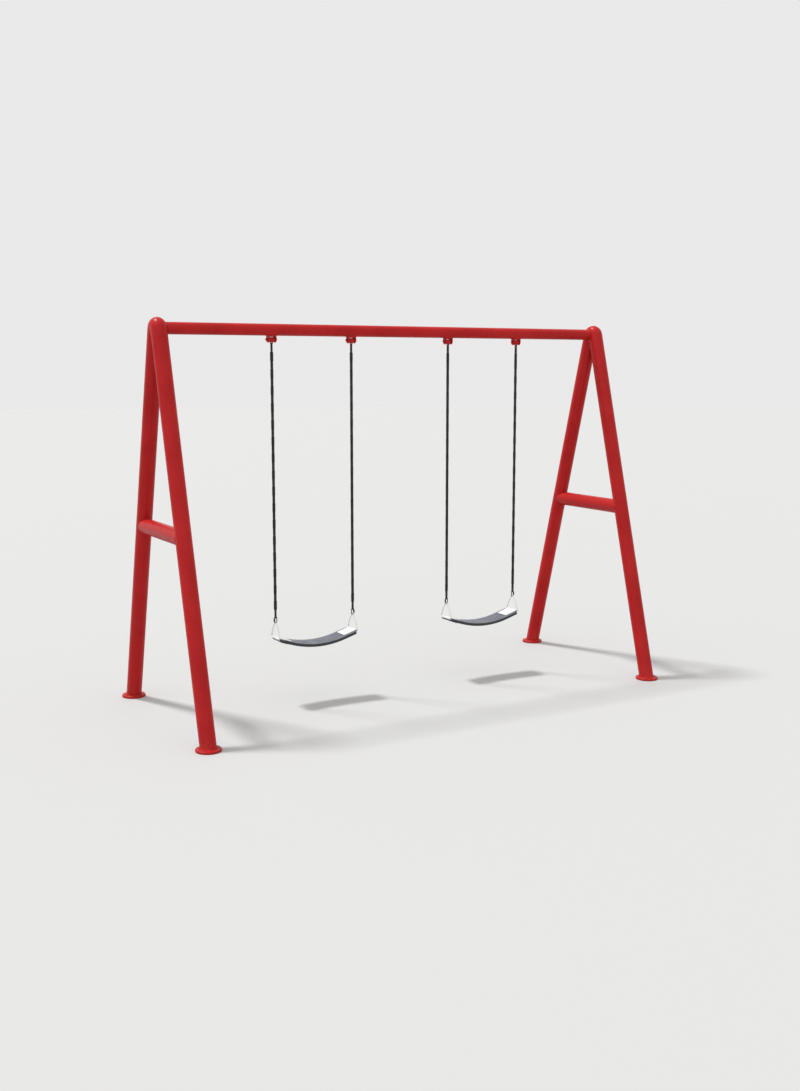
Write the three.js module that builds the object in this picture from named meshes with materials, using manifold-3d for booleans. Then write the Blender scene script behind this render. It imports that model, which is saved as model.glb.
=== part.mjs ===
// Two-seat playground swing set: two steel A-frames, a top beam, and two belt seats on chains.
// Units are millimetres. +X runs along the beam, -Y is the front, +Z is up. The origin is on
// the ground, midway between the four feet.

import * as THREE from 'three';
import { mergeVertices } from 'three/addons/utils/BufferGeometryUtils.js';
import Module from 'manifold-3d';

const wasm = await Module();
wasm.setup();

// ---------------------------------------------------------------- driving dimensions

const GAP = 0.3;                    // air left between two pieces that touch

// Flat sides that stand in for each kind of round
const TUBE_SIDES = 20;
const PIN_SIDES = 16;
const RIVET_SIDES = 8;
const WIRE_SIDES = 6;
const WIRE_ARC_DIVISIONS = 3;
const CROWN_SIDES = 16;

// A-frames
const FRAME_HALF_LENGTH = 1692;     // beam centre to each A-frame
const FOOT_HALF_SPREAD = 704;       // A-frame centre to each foot
const LEG_APEX_Z = 2580;            // where the two leg axes would cross
const LEG_RADIUS = 51;
const LEG_WALL = 4;
const HEAD_BEND_RADIUS = 28.6;      // centreline bend where the legs turn over the top
const HEAD_STUB_LENGTH = 259;       // leg axis crossing to the head's lower ends
const BRACE_Z = 1225;
const FLANGE_RADIUS = 79;
const FLANGE_THICKNESS = 16;
const FLANGE_ROUNDING = 7;

// Top beam and the spigots that plug into its ends
const BEAM_Z = 2484;
const BEAM_RADIUS = 38.2;
const BEAM_WALL = 3.2;
const SPIGOT_WALL = 3.5;
const SPIGOT_REACH = 170;           // A-frame centre to the spigot's inner end
const BEAM_SCREW_INSET = 112;       // A-frame centre to the screw that pins the beam
const BEAM_SCREW_RADIUS = 6;
const BEAM_SCREW_HEAD_RADIUS = 10.5;
const BEAM_SCREW_HEAD_HEIGHT = 6;
const BEAM_SCREW_SHOULDER_RADIUS = 9.45;
const BEAM_SCREW_SHOULDER_HEIGHT = 3.3;
const BEAM_SCREW_CROWN_RADIUS = 5.775;
const BEAM_SCREW_DEPTH = 12;

// Hangers: a forked bracket, a bolt, and a bushed hub that swings on it
const SWING_CENTRES = { left: -643, right: 698 };
const CHAIN_HALF_SPACING = 289.5;
const PIVOT_Z = 2422.5;
const EAR_OUTER_HALF = 28;
const EAR_THICKNESS = 6;
const EAR_RADIUS = 20.5;
const BRACKET_WEB_BOTTOM_Z = 2438.5;
const PIVOT_BOLT_RADIUS = 6;
const BOLT_HEAD_CORNER_RADIUS = 10.4;
const BOLT_HEAD_HEIGHT = 7.5;
const NUT_HEIGHT = 10;
const BOLT_TAIL = 3;                // thread showing past the nut
const BUSH_BORE_RADIUS = 6.2;
const BUSH_OUTER_RADIUS = 8.9;
const BUSH_HALF_LENGTH = 21.5;
const HUB_RADIUS = 14;
const HUB_HALF_LENGTH = 20;
const HUB_BORE_RADIUS = 9.2;
const TONGUE_THICKNESS = 5;
const TONGUE_HALF_WIDTH = 17.5;
const TONGUE_ROOT_DROP = 8.4;       // pivot down to where the tongue is at its widest
const EYE_DROP = 23.5;              // pivot to the centre of the hub's lower eye
const EYE_RADIUS = 5.5;
const EYE_RIM_RADIUS = 9.5;

// Chain of long links under a soft coat, modelled as its end links joined by a bar of the same mass
const LINK_WIRE_RADIUS = 4.2;       // 6 mm wire with its coat
const LINK_PITCH = 54.37;
const LINK_HALF_WIDTH = 7.6;        // link centreline, middle to side
const LINK_COUNT = 33;
const CHAIN_BAR_RADIUS = 5.5;
const CHAIN_BAR_SIDES = 8;

// Quick link that joins the chain to the seat's triangle
const QUICK_LINK_WIRE_RADIUS = 3;
const QUICK_LINK_INNER_LENGTH = 36;
const QUICK_LINK_HALF_WIDTH = 9;

// Seat: wire triangles, knuckled end plates, backing bars with rivets, and the belt
const TRIANGLE_WIRE_RADIUS = 4;
const SEAT_BAR_Z = 459;             // axis of the triangle's bottom bar
const TRIANGLE_HALF_BASE = 66;
const TRIANGLE_CORNER_RADIUS = 10;
const TRIANGLE_TOP_RADIUS = 12;
const SEAT_SLOPE = THREE.MathUtils.degToRad(17);
const KNUCKLE_BORE_RADIUS = 4.6;
const PLATE_THICKNESS = 2.5;
const PLATE_LENGTH = 98;
const PLATE_HALF_WIDTH = 55;
const BELT_THICKNESS = 21;
const BELT_HALF_WIDTH = 80;
const BELT_END_INSET = 9;           // knuckle axis to the belt's end face
const BELT_FLAT_LENGTH = 104;       // knuckle axis to where the belt starts to curve
const RIVET_INSET = 62;
const RIVET_SPACING = 36;
const RIVET_RADIUS = 4;
const RIVET_HEAD_RADIUS = 7;
const RIVET_HEAD_HEIGHT = 3.2;
const RIVET_SHOULDER_RADIUS = 5.25;
const RIVET_SHOULDER_HEIGHT = 2.24;
const RIVET_HOLE_RADIUS = 4.4;
const BACKING_BAR_THICKNESS = 4;
const BACKING_BAR_HALF_LENGTH = 52;
const BACKING_BAR_HALF_WIDTH = 9;

// ---------------------------------------------------------------- derived positions

const LEG_ANGLE = Math.atan2(FOOT_HALF_SPREAD, LEG_APEX_Z);
const LEG_AXIS_LENGTH = Math.hypot(FOOT_HALF_SPREAD, LEG_APEX_Z);
const HEAD_CENTRE_Z = LEG_APEX_Z - HEAD_BEND_RADIUS / Math.sin(LEG_ANGLE);
const HEAD_TANGENT_LENGTH = HEAD_BEND_RADIUS / Math.tan(LEG_ANGLE);
const EYE_Z = PIVOT_Z - EYE_DROP;
// The inside of the first link's bend rests on the eye's two rims, so its middle stands higher.
const LINK_INNER_RADIUS = LINK_HALF_WIDTH - LINK_WIRE_RADIUS;
const LINK_BEND_RISE = LINK_INNER_RADIUS - Math.sqrt(LINK_INNER_RADIUS ** 2 - (TONGUE_THICKNESS / 2) ** 2);
const LINK_TOP_Z = EYE_Z - EYE_RADIUS + LINK_WIRE_RADIUS + LINK_BEND_RISE + GAP;
const LINK_HEIGHT = LINK_PITCH + 2 * LINK_WIRE_RADIUS;
const LINK_BOTTOM_Z = LINK_TOP_Z - LINK_PITCH * LINK_COUNT - 2 * LINK_WIRE_RADIUS;
const QUICK_LINK_TOP_Z = LINK_BOTTOM_Z + LINK_WIRE_RADIUS + QUICK_LINK_WIRE_RADIUS + GAP;
const QUICK_LINK_HEIGHT = QUICK_LINK_INNER_LENGTH + 2 * QUICK_LINK_WIRE_RADIUS;
const QUICK_LINK_BOTTOM_Z = QUICK_LINK_TOP_Z - QUICK_LINK_HEIGHT;
const TRIANGLE_TOP_Z = QUICK_LINK_BOTTOM_Z + QUICK_LINK_WIRE_RADIUS + TRIANGLE_WIRE_RADIUS + GAP;
const BELT_TOP_OFFSET = KNUCKLE_BORE_RADIUS - GAP;   // knuckle axis up to the belt's top face

// ---------------------------------------------------------------- geometry helpers

/** Welds a geometry's shared vertices and hands it to manifold-3d as a solid. */
function toSolid(geometry) {
  const bare = geometry.clone();
  bare.deleteAttribute('normal');
  bare.deleteAttribute('uv');
  const welded = mergeVertices(bare, 1e-4);
  return new wasm.Manifold(new wasm.Mesh({
    numProp: 3,
    vertProperties: new Float32Array(welded.attributes.position.array),
    triVerts: new Uint32Array(welded.index.array),
  }));
}

/** Turns a manifold-3d solid back into a geometry. */
function toGeometry(solid) {
  const mesh = solid.getMesh();
  const geometry = new THREE.BufferGeometry();
  geometry.setAttribute('position', new THREE.BufferAttribute(mesh.vertProperties, 3));
  geometry.setIndex(new THREE.BufferAttribute(mesh.triVerts, 1));
  geometry.computeVertexNormals();
  return geometry;
}

const join = (first, ...rest) => rest.reduce((sum, solid) => sum.add(solid), first);
const cut = (first, ...rest) => rest.reduce((left, solid) => left.subtract(solid), first);

/** Solid of revolution about +Z from (radius, height) pairs. */
function turned(points, sides = TUBE_SIDES) {
  const profile = points.map(([radius, height]) => new THREE.Vector2(radius, height));
  return new THREE.LatheGeometry(profile, sides).rotateX(Math.PI / 2);
}

/** Round bar along +Z between two heights. */
function bar(radius, low, high, sides = TUBE_SIDES) {
  return turned([[0, low], [radius, low], [radius, high], [0, high]], sides);
}

/** Open-ended tube along +Z between two heights. */
function pipe(outer, inner, low, high, sides = TUBE_SIDES) {
  return turned([[inner, low], [outer, low], [outer, high], [inner, high], [inner, low]], sides);
}

/** Turns a geometry made along +Z to lie along +X. */
const alongX = (geometry) => geometry.rotateY(Math.PI / 2);

/** Turns a geometry made along +Z to lie along +Y. */
const alongY = (geometry) => geometry.rotateX(-Math.PI / 2);

/** Extrudes a shape drawn in the YZ plane through X, centred on x = 0. */
function slabAcrossX(shape, thickness, curveSegments = 8) {
  const options = { depth: thickness, bevelEnabled: false, curveSegments };
  const geometry = new THREE.ExtrudeGeometry(shape, options);
  return geometry.translate(0, 0, -thickness / 2).rotateX(Math.PI / 2).rotateZ(Math.PI / 2);
}

/** Extrudes a shape drawn in the XZ plane through Y, centred on y = 0. */
function slabAcrossY(shape, thickness, curveSegments = 8) {
  const options = { depth: thickness, bevelEnabled: false, curveSegments };
  const geometry = new THREE.ExtrudeGeometry(shape, options);
  return geometry.translate(0, 0, -thickness / 2).rotateX(Math.PI / 2);
}

/** Closed route through given points, one tube section at each, so straights need no extra ones. */
class PointLoop extends THREE.Curve {
  constructor(points) {
    super();
    this.points = points;
  }

  pick(index) {
    const count = this.points.length;
    return this.points[(index + count) % count];
  }

  getPointAt(u, target = new THREE.Vector3()) {
    return target.copy(this.pick(Math.round(u * this.points.length)));
  }

  getTangentAt(u, target = new THREE.Vector3()) {
    const index = Math.round(u * this.points.length);
    return target.subVectors(this.pick(index + 1), this.pick(index - 1)).normalize();
  }
}

/** Closed wire ring that follows a flat outline; place() lifts an outline point into space. */
function wireRing(outline, wireRadius, place) {
  const shared = 1e-6;
  const drawn = outline.getPoints(WIRE_ARC_DIVISIONS).map(place);
  const points = drawn.filter((point, index) => (
    point.distanceTo(drawn[(index + 1) % drawn.length]) > shared
  ));
  const route = new PointLoop(points);
  return new THREE.TubeGeometry(route, points.length, wireRadius, WIRE_SIDES, true);
}

/** Outline of a link with parallel sides and round ends, its top wire centre at height top. */
function linkOutline(halfWidth, height, top) {
  const outline = new THREE.Path();
  outline.moveTo(halfWidth, top - height + halfWidth);
  outline.lineTo(halfWidth, top - halfWidth);
  outline.absarc(0, top - halfWidth, halfWidth, 0, Math.PI, false);
  outline.lineTo(-halfWidth, top - height + halfWidth);
  outline.absarc(0, top - height + halfWidth, halfWidth, Math.PI, 2 * Math.PI, false);
  return outline;
}

const inPlaneYZ = (point) => new THREE.Vector3(0, point.x, point.y);
const inPlaneXZ = (point) => new THREE.Vector3(point.x, 0, point.y);

// ---------------------------------------------------------------- materials

const paint = { color: 0xb3202a, roughness: 0.32, metalness: 0.1 };
const flangePaint = { color: 0xc12a30, roughness: 0.4, metalness: 0.1 };
const zinc = { color: 0xb9bcc0, roughness: 0.35, metalness: 0.9 };
const blackCoat = { color: 0x26262a, roughness: 0.5, metalness: 0.2 };
const brightPlate = { color: 0xf0f0ee, roughness: 0.3, metalness: 0.4 };
const rubber = { color: 0x3b3f4b, roughness: 0.7, metalness: 0 };
const nylon = { color: 0xe6e1d2, roughness: 0.6, metalness: 0 };

function piece(name, geometry, look) {
  const mesh = new THREE.Mesh(geometry, new THREE.MeshStandardMaterial(look));
  mesh.name = name;
  return mesh;
}

// ---------------------------------------------------------------- A-frame pieces

/** One leg's round bar, from its foot on the ground up to the bend, leaning towards the middle. */
function legBar(radius, low, high, side) {
  const geometry = bar(radius, low, high).rotateX(-LEG_ANGLE).translate(0, -FOOT_HALF_SPREAD, 0);
  return toSolid(side > 0 ? geometry.rotateZ(Math.PI) : geometry);
}

/** Leg tube, standing on the flange and ending square under the head. Made for the front foot. */
function legGeometry() {
  const top = LEG_AXIS_LENGTH - HEAD_STUB_LENGTH;
  const tube = pipe(LEG_RADIUS, LEG_RADIUS - LEG_WALL, -LEG_RADIUS, top);
  tube.rotateX(-LEG_ANGLE).translate(0, -FOOT_HALF_SPREAD, 0);
  const ground = new THREE.BoxGeometry(4 * LEG_RADIUS, 4 * LEG_RADIUS, 4 * LEG_RADIUS);
  ground.translate(0, -FOOT_HALF_SPREAD, FLANGE_THICKNESS + GAP - 2 * LEG_RADIUS);
  return toGeometry(cut(toSolid(tube), toSolid(ground)));
}

/** Low round foot plate with a rounded upper edge. */
function flangeGeometry() {
  const points = [[0, 0], [FLANGE_RADIUS, 0]];
  const shoulder = FLANGE_THICKNESS - FLANGE_ROUNDING;
  for (let step = 0; step <= 2; step += 1) {
    const angle = (step / 2) * (Math.PI / 2);
    const radius = FLANGE_RADIUS - FLANGE_ROUNDING * (1 - Math.cos(angle));
    points.push([radius, shoulder + FLANGE_ROUNDING * Math.sin(angle)]);
  }
  points.push([0, FLANGE_THICKNESS]);
  return turned(points).translate(0, -FOOT_HALF_SPREAD, 0);
}

/**
 * Filled shape of the head: two leg stubs and the bend that carries one tube over into the
 * other. The tube is wider than the bend, so the bend is the tube's section turned about the
 * bend's centre, of which the upper half shows.
 */
function headSolid(radius, stubEnd) {
  const section = [[0, -Math.sqrt(radius ** 2 - HEAD_BEND_RADIUS ** 2)]];
  for (let step = 0; step <= TUBE_SIDES; step += 1) {
    const angle = -Math.PI + (step * 2 * Math.PI) / TUBE_SIDES;
    const reach = HEAD_BEND_RADIUS + radius * Math.cos(angle);
    if (reach > 1) section.push([reach, radius * Math.sin(angle)]);
  }
  section.push([0, -section[0][1]]);
  const bend = alongX(turned(section, CROWN_SIDES));
  const upperHalf = new THREE.BoxGeometry(4 * radius, 4 * radius, 4 * radius);
  upperHalf.translate(0, 0, 2 * radius);
  const crown = toSolid(bend).intersect(toSolid(upperHalf)).translate([0, 0, HEAD_CENTRE_Z]);
  const top = LEG_AXIS_LENGTH - HEAD_TANGENT_LENGTH;
  const low = LEG_AXIS_LENGTH - stubEnd;
  return join(crown, legBar(radius, low, top, -1), legBar(radius, low, top, 1));
}

/** Hollow head: the wall between the outer shape and the same shape one wall smaller. */
function headGeometry() {
  const outer = headSolid(LEG_RADIUS, HEAD_STUB_LENGTH - GAP);
  const hollow = headSolid(LEG_RADIUS - LEG_WALL, HEAD_STUB_LENGTH + LEG_WALL);
  return toGeometry(cut(outer, hollow));
}

/** Cross brace between the legs, its ends shaped to the legs' round sides. */
function braceGeometry() {
  const reach = FOOT_HALF_SPREAD * (1 - BRACE_Z / LEG_APEX_Z);
  const tube = alongY(pipe(LEG_RADIUS, LEG_RADIUS - LEG_WALL, -reach, reach));
  tube.translate(0, 0, BRACE_Z);
  const length = LEG_AXIS_LENGTH - HEAD_STUB_LENGTH;
  const legs = [-1, 1].map((side) => legBar(LEG_RADIUS + GAP, 0, length, side));
  return toGeometry(cut(toSolid(tube), ...legs));
}

// ---------------------------------------------------------------- beam pieces

/** Head shapes at both ends of the beam, one gap larger, used to shape what butts onto them. */
function headCutter(side) {
  const grown = headSolid(LEG_RADIUS + GAP, HEAD_STUB_LENGTH - GAP);
  return grown.translate([side * FRAME_HALF_LENGTH, 0, 0]);
}

/** Screw hole through the rear wall at one end of the beam. */
function beamScrewHole(side, radius) {
  const hole = alongY(bar(radius, 0, 2 * BEAM_RADIUS, PIN_SIDES));
  return toSolid(hole.translate(side * (FRAME_HALF_LENGTH - BEAM_SCREW_INSET), 0, BEAM_Z));
}

function beamGeometry() {
  const tube = alongX(pipe(BEAM_RADIUS, BEAM_RADIUS - BEAM_WALL, -FRAME_HALF_LENGTH,
    FRAME_HALF_LENGTH)).translate(0, 0, BEAM_Z);
  const holes = [-1, 1].map((side) => beamScrewHole(side, BEAM_SCREW_RADIUS + 2 * GAP));
  return toGeometry(cut(toSolid(tube), headCutter(-1), headCutter(1), ...holes));
}

/** Short tube fixed to the head, over which the beam's end slides. */
function spigotGeometry(side) {
  const outer = BEAM_RADIUS - BEAM_WALL - GAP;
  const ends = [side * FRAME_HALF_LENGTH, side * (FRAME_HALF_LENGTH - SPIGOT_REACH)];
  const tube = pipe(outer, outer - SPIGOT_WALL, Math.min(...ends), Math.max(...ends));
  const solid = toSolid(alongX(tube).translate(0, 0, BEAM_Z));
  return toGeometry(cut(solid, headCutter(side), beamScrewHole(side, BEAM_SCREW_RADIUS + GAP)));
}

/** Button-head screw through the beam's rear wall into the spigot. */
function beamScrewGeometry() {
  const seat = BEAM_RADIUS + GAP;
  const crown = seat + BEAM_SCREW_HEAD_HEIGHT;
  const points = [
    [0, seat - BEAM_SCREW_DEPTH],
    [BEAM_SCREW_RADIUS, seat - BEAM_SCREW_DEPTH],
    [BEAM_SCREW_RADIUS, seat],
    [BEAM_SCREW_HEAD_RADIUS, seat],
    [BEAM_SCREW_SHOULDER_RADIUS, seat + BEAM_SCREW_SHOULDER_HEIGHT],
    [BEAM_SCREW_CROWN_RADIUS, crown],
    [0, crown],
  ];
  return alongY(turned(points, PIN_SIDES));
}

// ---------------------------------------------------------------- hanger pieces

/** Forked bracket: two round-ended ears and a web, fitted to the underside of the beam. */
function bracketGeometry() {
  const ear = new THREE.Shape();
  ear.moveTo(-EAR_RADIUS, BEAM_Z - PIVOT_Z);
  ear.lineTo(-EAR_RADIUS, 0);
  ear.absarc(0, 0, EAR_RADIUS, Math.PI, 2 * Math.PI, false);
  ear.lineTo(EAR_RADIUS, BEAM_Z - PIVOT_Z);
  ear.closePath();
  const earOffset = EAR_OUTER_HALF - EAR_THICKNESS / 2;
  const ears = [-1, 1].map((side) => (
    toSolid(slabAcrossX(ear, EAR_THICKNESS).translate(side * earOffset, 0, 0))
  ));
  const webBottom = BRACKET_WEB_BOTTOM_Z - PIVOT_Z;
  const webHeight = BEAM_Z - BRACKET_WEB_BOTTOM_Z;
  const web = new THREE.BoxGeometry(2 * EAR_OUTER_HALF - EAR_THICKNESS, 2 * EAR_RADIUS, webHeight);
  web.translate(0, 0, webBottom + webHeight / 2);
  const beam = alongX(bar(BEAM_RADIUS + GAP, -2 * EAR_OUTER_HALF, 2 * EAR_OUTER_HALF));
  beam.translate(0, 0, BEAM_Z - PIVOT_Z);
  const reach = 2 * EAR_OUTER_HALF;
  const bore = alongX(bar(PIVOT_BOLT_RADIUS + GAP, -reach, reach, PIN_SIDES));
  return toGeometry(cut(join(toSolid(web), ...ears), toSolid(beam), toSolid(bore)));
}

/** Hexagonal prism along +X from x = low, with an optional round hole. */
function hexagon(cornerRadius, low, height, holeRadius = 0) {
  const outline = new THREE.Shape();
  for (let corner = 0; corner < 6; corner += 1) {
    const angle = (corner * Math.PI) / 3;
    const point = [cornerRadius * Math.cos(angle), cornerRadius * Math.sin(angle)];
    if (corner === 0) outline.moveTo(...point);
    else outline.lineTo(...point);
  }
  outline.closePath();
  if (holeRadius > 0) {
    const hole = new THREE.Path();
    hole.absarc(0, 0, holeRadius, 0, 2 * Math.PI, true);
    outline.holes.push(hole);
  }
  return slabAcrossX(outline, height).translate(low + height / 2, 0, 0);
}

function pivotBoltGeometry() {
  const head = EAR_OUTER_HALF + GAP;
  const tail = EAR_OUTER_HALF + GAP + NUT_HEIGHT + BOLT_TAIL;
  const shank = alongX(bar(PIVOT_BOLT_RADIUS, -tail, head + BOLT_HEAD_HEIGHT / 2, PIN_SIDES));
  const hex = hexagon(BOLT_HEAD_CORNER_RADIUS, head, BOLT_HEAD_HEIGHT);
  return toGeometry(join(toSolid(shank), toSolid(hex)));
}

function pivotNutGeometry() {
  const inner = -(EAR_OUTER_HALF + GAP);
  const bore = PIVOT_BOLT_RADIUS + GAP;
  return hexagon(BOLT_HEAD_CORNER_RADIUS, inner - NUT_HEIGHT, NUT_HEIGHT, bore);
}

/** Plain bearing bush, a little longer than the hub so that it takes the side load. */
function bushGeometry() {
  const half = BUSH_HALF_LENGTH;
  return alongX(pipe(BUSH_OUTER_RADIUS, BUSH_BORE_RADIUS, -half, half, PIN_SIDES));
}

/** Hub: a barrel on the bolt, with a tapered tongue below that ends in the chain's eye. */
function hubGeometry() {
  const barrel = alongX(bar(HUB_RADIUS, -HUB_HALF_LENGTH, HUB_HALF_LENGTH));
  const flare = THREE.MathUtils.degToRad(20);
  const tongue = new THREE.Shape();
  tongue.moveTo(TONGUE_HALF_WIDTH, -TONGUE_ROOT_DROP);
  tongue.lineTo(-TONGUE_HALF_WIDTH, -TONGUE_ROOT_DROP);
  tongue.absarc(0, -EYE_DROP, EYE_RIM_RADIUS, Math.PI + flare, 2 * Math.PI - flare, false);
  tongue.closePath();
  const reach = 2 * HUB_HALF_LENGTH;
  const bore = alongX(bar(HUB_BORE_RADIUS, -reach, reach, PIN_SIDES));
  const eye = alongY(bar(EYE_RADIUS, -HUB_RADIUS, HUB_RADIUS, PIN_SIDES)).translate(0, 0, -EYE_DROP);
  const body = join(toSolid(barrel), toSolid(slabAcrossY(tongue, TONGUE_THICKNESS)));
  return toGeometry(cut(body, toSolid(bore), toSolid(eye)));
}

// ---------------------------------------------------------------- chain pieces

/** Chain hung from the hub's eye: first link, straight run, last link. */
function chainGeometry() {
  const endLinks = [LINK_TOP_Z, LINK_BOTTOM_Z + LINK_HEIGHT].map((top) => toSolid(
    wireRing(linkOutline(LINK_HALF_WIDTH, LINK_HEIGHT, top), LINK_WIRE_RADIUS, inPlaneYZ),
  ));
  const low = LINK_BOTTOM_Z + LINK_HEIGHT - LINK_WIRE_RADIUS;
  const high = LINK_TOP_Z - LINK_HEIGHT + LINK_WIRE_RADIUS;
  const run = toSolid(bar(CHAIN_BAR_RADIUS, low, high, CHAIN_BAR_SIDES));
  return toGeometry(join(run, ...endLinks));
}

function quickLinkGeometry() {
  const outline = linkOutline(QUICK_LINK_HALF_WIDTH, QUICK_LINK_HEIGHT, QUICK_LINK_TOP_Z);
  return wireRing(outline, QUICK_LINK_WIRE_RADIUS, inPlaneXZ);
}

// ---------------------------------------------------------------- seat pieces

/** Wire triangle with a round top, rounded corners and a straight bottom bar. */
function triangleGeometry() {
  const top = TRIANGLE_TOP_Z - TRIANGLE_TOP_RADIUS;
  const corner = SEAT_BAR_Z + TRIANGLE_CORNER_RADIUS;
  const footY = TRIANGLE_HALF_BASE - TRIANGLE_CORNER_RADIUS;
  const spread = Math.hypot(footY, top - corner);
  const lean = Math.atan2(footY, top - corner);
  const turn = lean - Math.asin((TRIANGLE_CORNER_RADIUS - TRIANGLE_TOP_RADIUS) / spread);
  const outline = new THREE.Path();
  outline.moveTo(0, SEAT_BAR_Z);
  outline.absarc(footY, corner, TRIANGLE_CORNER_RADIUS, -Math.PI / 2, turn, false);
  outline.absarc(0, top, TRIANGLE_TOP_RADIUS, turn, Math.PI - turn, false);
  outline.absarc(-footY, corner, TRIANGLE_CORNER_RADIUS, Math.PI - turn, 1.5 * Math.PI, false);
  outline.lineTo(0, SEAT_BAR_Z);
  return wireRing(outline, TRIANGLE_WIRE_RADIUS, inPlaneYZ);
}

/** End plate: a flat leaf on top of the belt, rolled at its outer end into a knuckle. */
function endPlateGeometry() {
  const outer = KNUCKLE_BORE_RADIUS + PLATE_THICKNESS;
  const rollEnd = THREE.MathUtils.degToRad(-40);
  const profile = new THREE.Shape();
  profile.moveTo(PLATE_LENGTH, KNUCKLE_BORE_RADIUS);
  profile.lineTo(PLATE_LENGTH, outer);
  profile.absarc(0, 0, outer, Math.PI / 2, 2 * Math.PI + rollEnd, false);
  profile.absarc(0, 0, KNUCKLE_BORE_RADIUS, 2 * Math.PI + rollEnd, Math.PI / 2, true);
  profile.closePath();
  const plate = slabAcrossY(profile, 2 * PLATE_HALF_WIDTH, 12);
  return toGeometry(cut(toSolid(plate), ...rivetHoles()));
}

/** The three rivet positions across the belt. */
const RIVET_ROWS = [-RIVET_SPACING, 0, RIVET_SPACING];

/** Cutters for the rivet holes, in the end plate's own frame. */
function rivetHoles() {
  return RIVET_ROWS.map((y) => (
    toSolid(bar(RIVET_HOLE_RADIUS, -2 * BELT_THICKNESS, BELT_THICKNESS, RIVET_SIDES)
      .translate(RIVET_INSET, y, 0))
  ));
}

/** Backing bar under the belt with its three rivets, headed over on top of the end plate. */
function rivetBarGeometry() {
  const barTop = BELT_TOP_OFFSET - BELT_THICKNESS - GAP;
  const plateTop = KNUCKLE_BORE_RADIUS + PLATE_THICKNESS;
  const strip = new THREE.BoxGeometry(
    2 * BACKING_BAR_HALF_WIDTH,
    2 * BACKING_BAR_HALF_LENGTH,
    BACKING_BAR_THICKNESS,
  );
  strip.translate(RIVET_INSET, 0, barTop - BACKING_BAR_THICKNESS / 2);
  const head = plateTop + GAP;
  const rivet = [
    [0, barTop - BACKING_BAR_THICKNESS / 2],
    [RIVET_RADIUS, barTop - BACKING_BAR_THICKNESS / 2],
    [RIVET_RADIUS, head],
    [RIVET_HEAD_RADIUS, head],
    [RIVET_SHOULDER_RADIUS, head + RIVET_SHOULDER_HEIGHT],
    [0, head + RIVET_HEAD_HEIGHT],
  ];
  const rivets = RIVET_ROWS.map((y) => (
    toSolid(turned(rivet, RIVET_SIDES).translate(RIVET_INSET, y, 0))
  ));
  return toGeometry(join(toSolid(strip), ...rivets));
}

/** Places a piece made in the end plate's frame at one end of the seat. */
function atSeatEnd(object, side) {
  object.position.set(side * CHAIN_HALF_SPACING, 0, SEAT_BAR_Z);
  object.rotation.set(0, -side * SEAT_SLOPE, side > 0 ? Math.PI : 0, 'YXZ');
  object.updateMatrix();
  return object;
}

/** Belt: flat under each end plate, and one round curve between. */
function beltGeometry() {
  const inboard = new THREE.Vector2(-Math.cos(SEAT_SLOPE), -Math.sin(SEAT_SLOPE));
  const upward = new THREE.Vector2(-Math.sin(SEAT_SLOPE), Math.cos(SEAT_SLOPE));
  const knuckle = new THREE.Vector2(CHAIN_HALF_SPACING, SEAT_BAR_Z);
  const at = (along, up) => (
    knuckle.clone().addScaledVector(inboard, along).addScaledVector(upward, up)
  );
  const underside = BELT_TOP_OFFSET - BELT_THICKNESS;
  const bendStart = at(BELT_FLAT_LENGTH, BELT_TOP_OFFSET);
  const radius = bendStart.x / Math.sin(SEAT_SLOPE);
  const centreZ = bendStart.y + radius * Math.cos(SEAT_SLOPE);
  const down = -Math.PI / 2;
  const topEnd = at(BELT_END_INSET, BELT_TOP_OFFSET);
  const lowEnd = at(BELT_END_INSET, underside);
  const profile = new THREE.Shape();
  profile.moveTo(-topEnd.x, topEnd.y);
  profile.lineTo(-lowEnd.x, lowEnd.y);
  profile.absarc(0, centreZ, radius + BELT_THICKNESS, down - SEAT_SLOPE, down + SEAT_SLOPE, false);
  profile.lineTo(lowEnd.x, lowEnd.y);
  profile.lineTo(topEnd.x, topEnd.y);
  profile.absarc(0, centreZ, radius, down + SEAT_SLOPE, down - SEAT_SLOPE, true);
  profile.closePath();
  const holes = [-1, 1].flatMap((side) => {
    const frame = atSeatEnd(new THREE.Object3D(), side).matrix;
    return rivetHoles().map((hole) => hole.transform(frame.elements));
  });
  return toGeometry(cut(toSolid(slabAcrossY(profile, 2 * BELT_HALF_WIDTH, 12)), ...holes));
}

// ---------------------------------------------------------------- assembly

/** Front or rear, from which side of the beam a foot stands on. */
const depthName = (y) => (y < 0 ? 'front' : 'rear');

/** One A-frame, its head facing along the beam towards the middle. */
function aFrame(side, shapes) {
  const frame = new THREE.Group();
  const label = side < 0 ? 'left' : 'right';
  for (const y of [-1, 1]) {
    const half = new THREE.Group();
    half.rotation.z = y < 0 ? 0 : Math.PI;
    half.add(piece(`leg_${label}_${depthName(y)}`, shapes.leg, paint));
    half.add(piece(`foot_flange_${label}_${depthName(y)}`, shapes.flange, flangePaint));
    frame.add(half);
  }
  frame.add(piece(`apex_head_${label}`, shapes.head, paint));
  frame.add(piece(`brace_${label}`, shapes.brace, paint));
  frame.position.x = side * FRAME_HALF_LENGTH;
  return frame;
}

/** Beam, its spigots and their screws. */
function topBeam() {
  const group = new THREE.Group();
  group.add(piece('top_beam', beamGeometry(), paint));
  for (const side of [-1, 1]) {
    const label = side < 0 ? 'left' : 'right';
    group.add(piece(`beam_spigot_${label}`, spigotGeometry(side), paint));
    const screw = piece(`beam_screw_${label}`, beamScrewGeometry(), zinc);
    screw.position.set(side * (FRAME_HALF_LENGTH - BEAM_SCREW_INSET), 0, BEAM_Z);
    group.add(screw);
  }
  return group;
}

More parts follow.
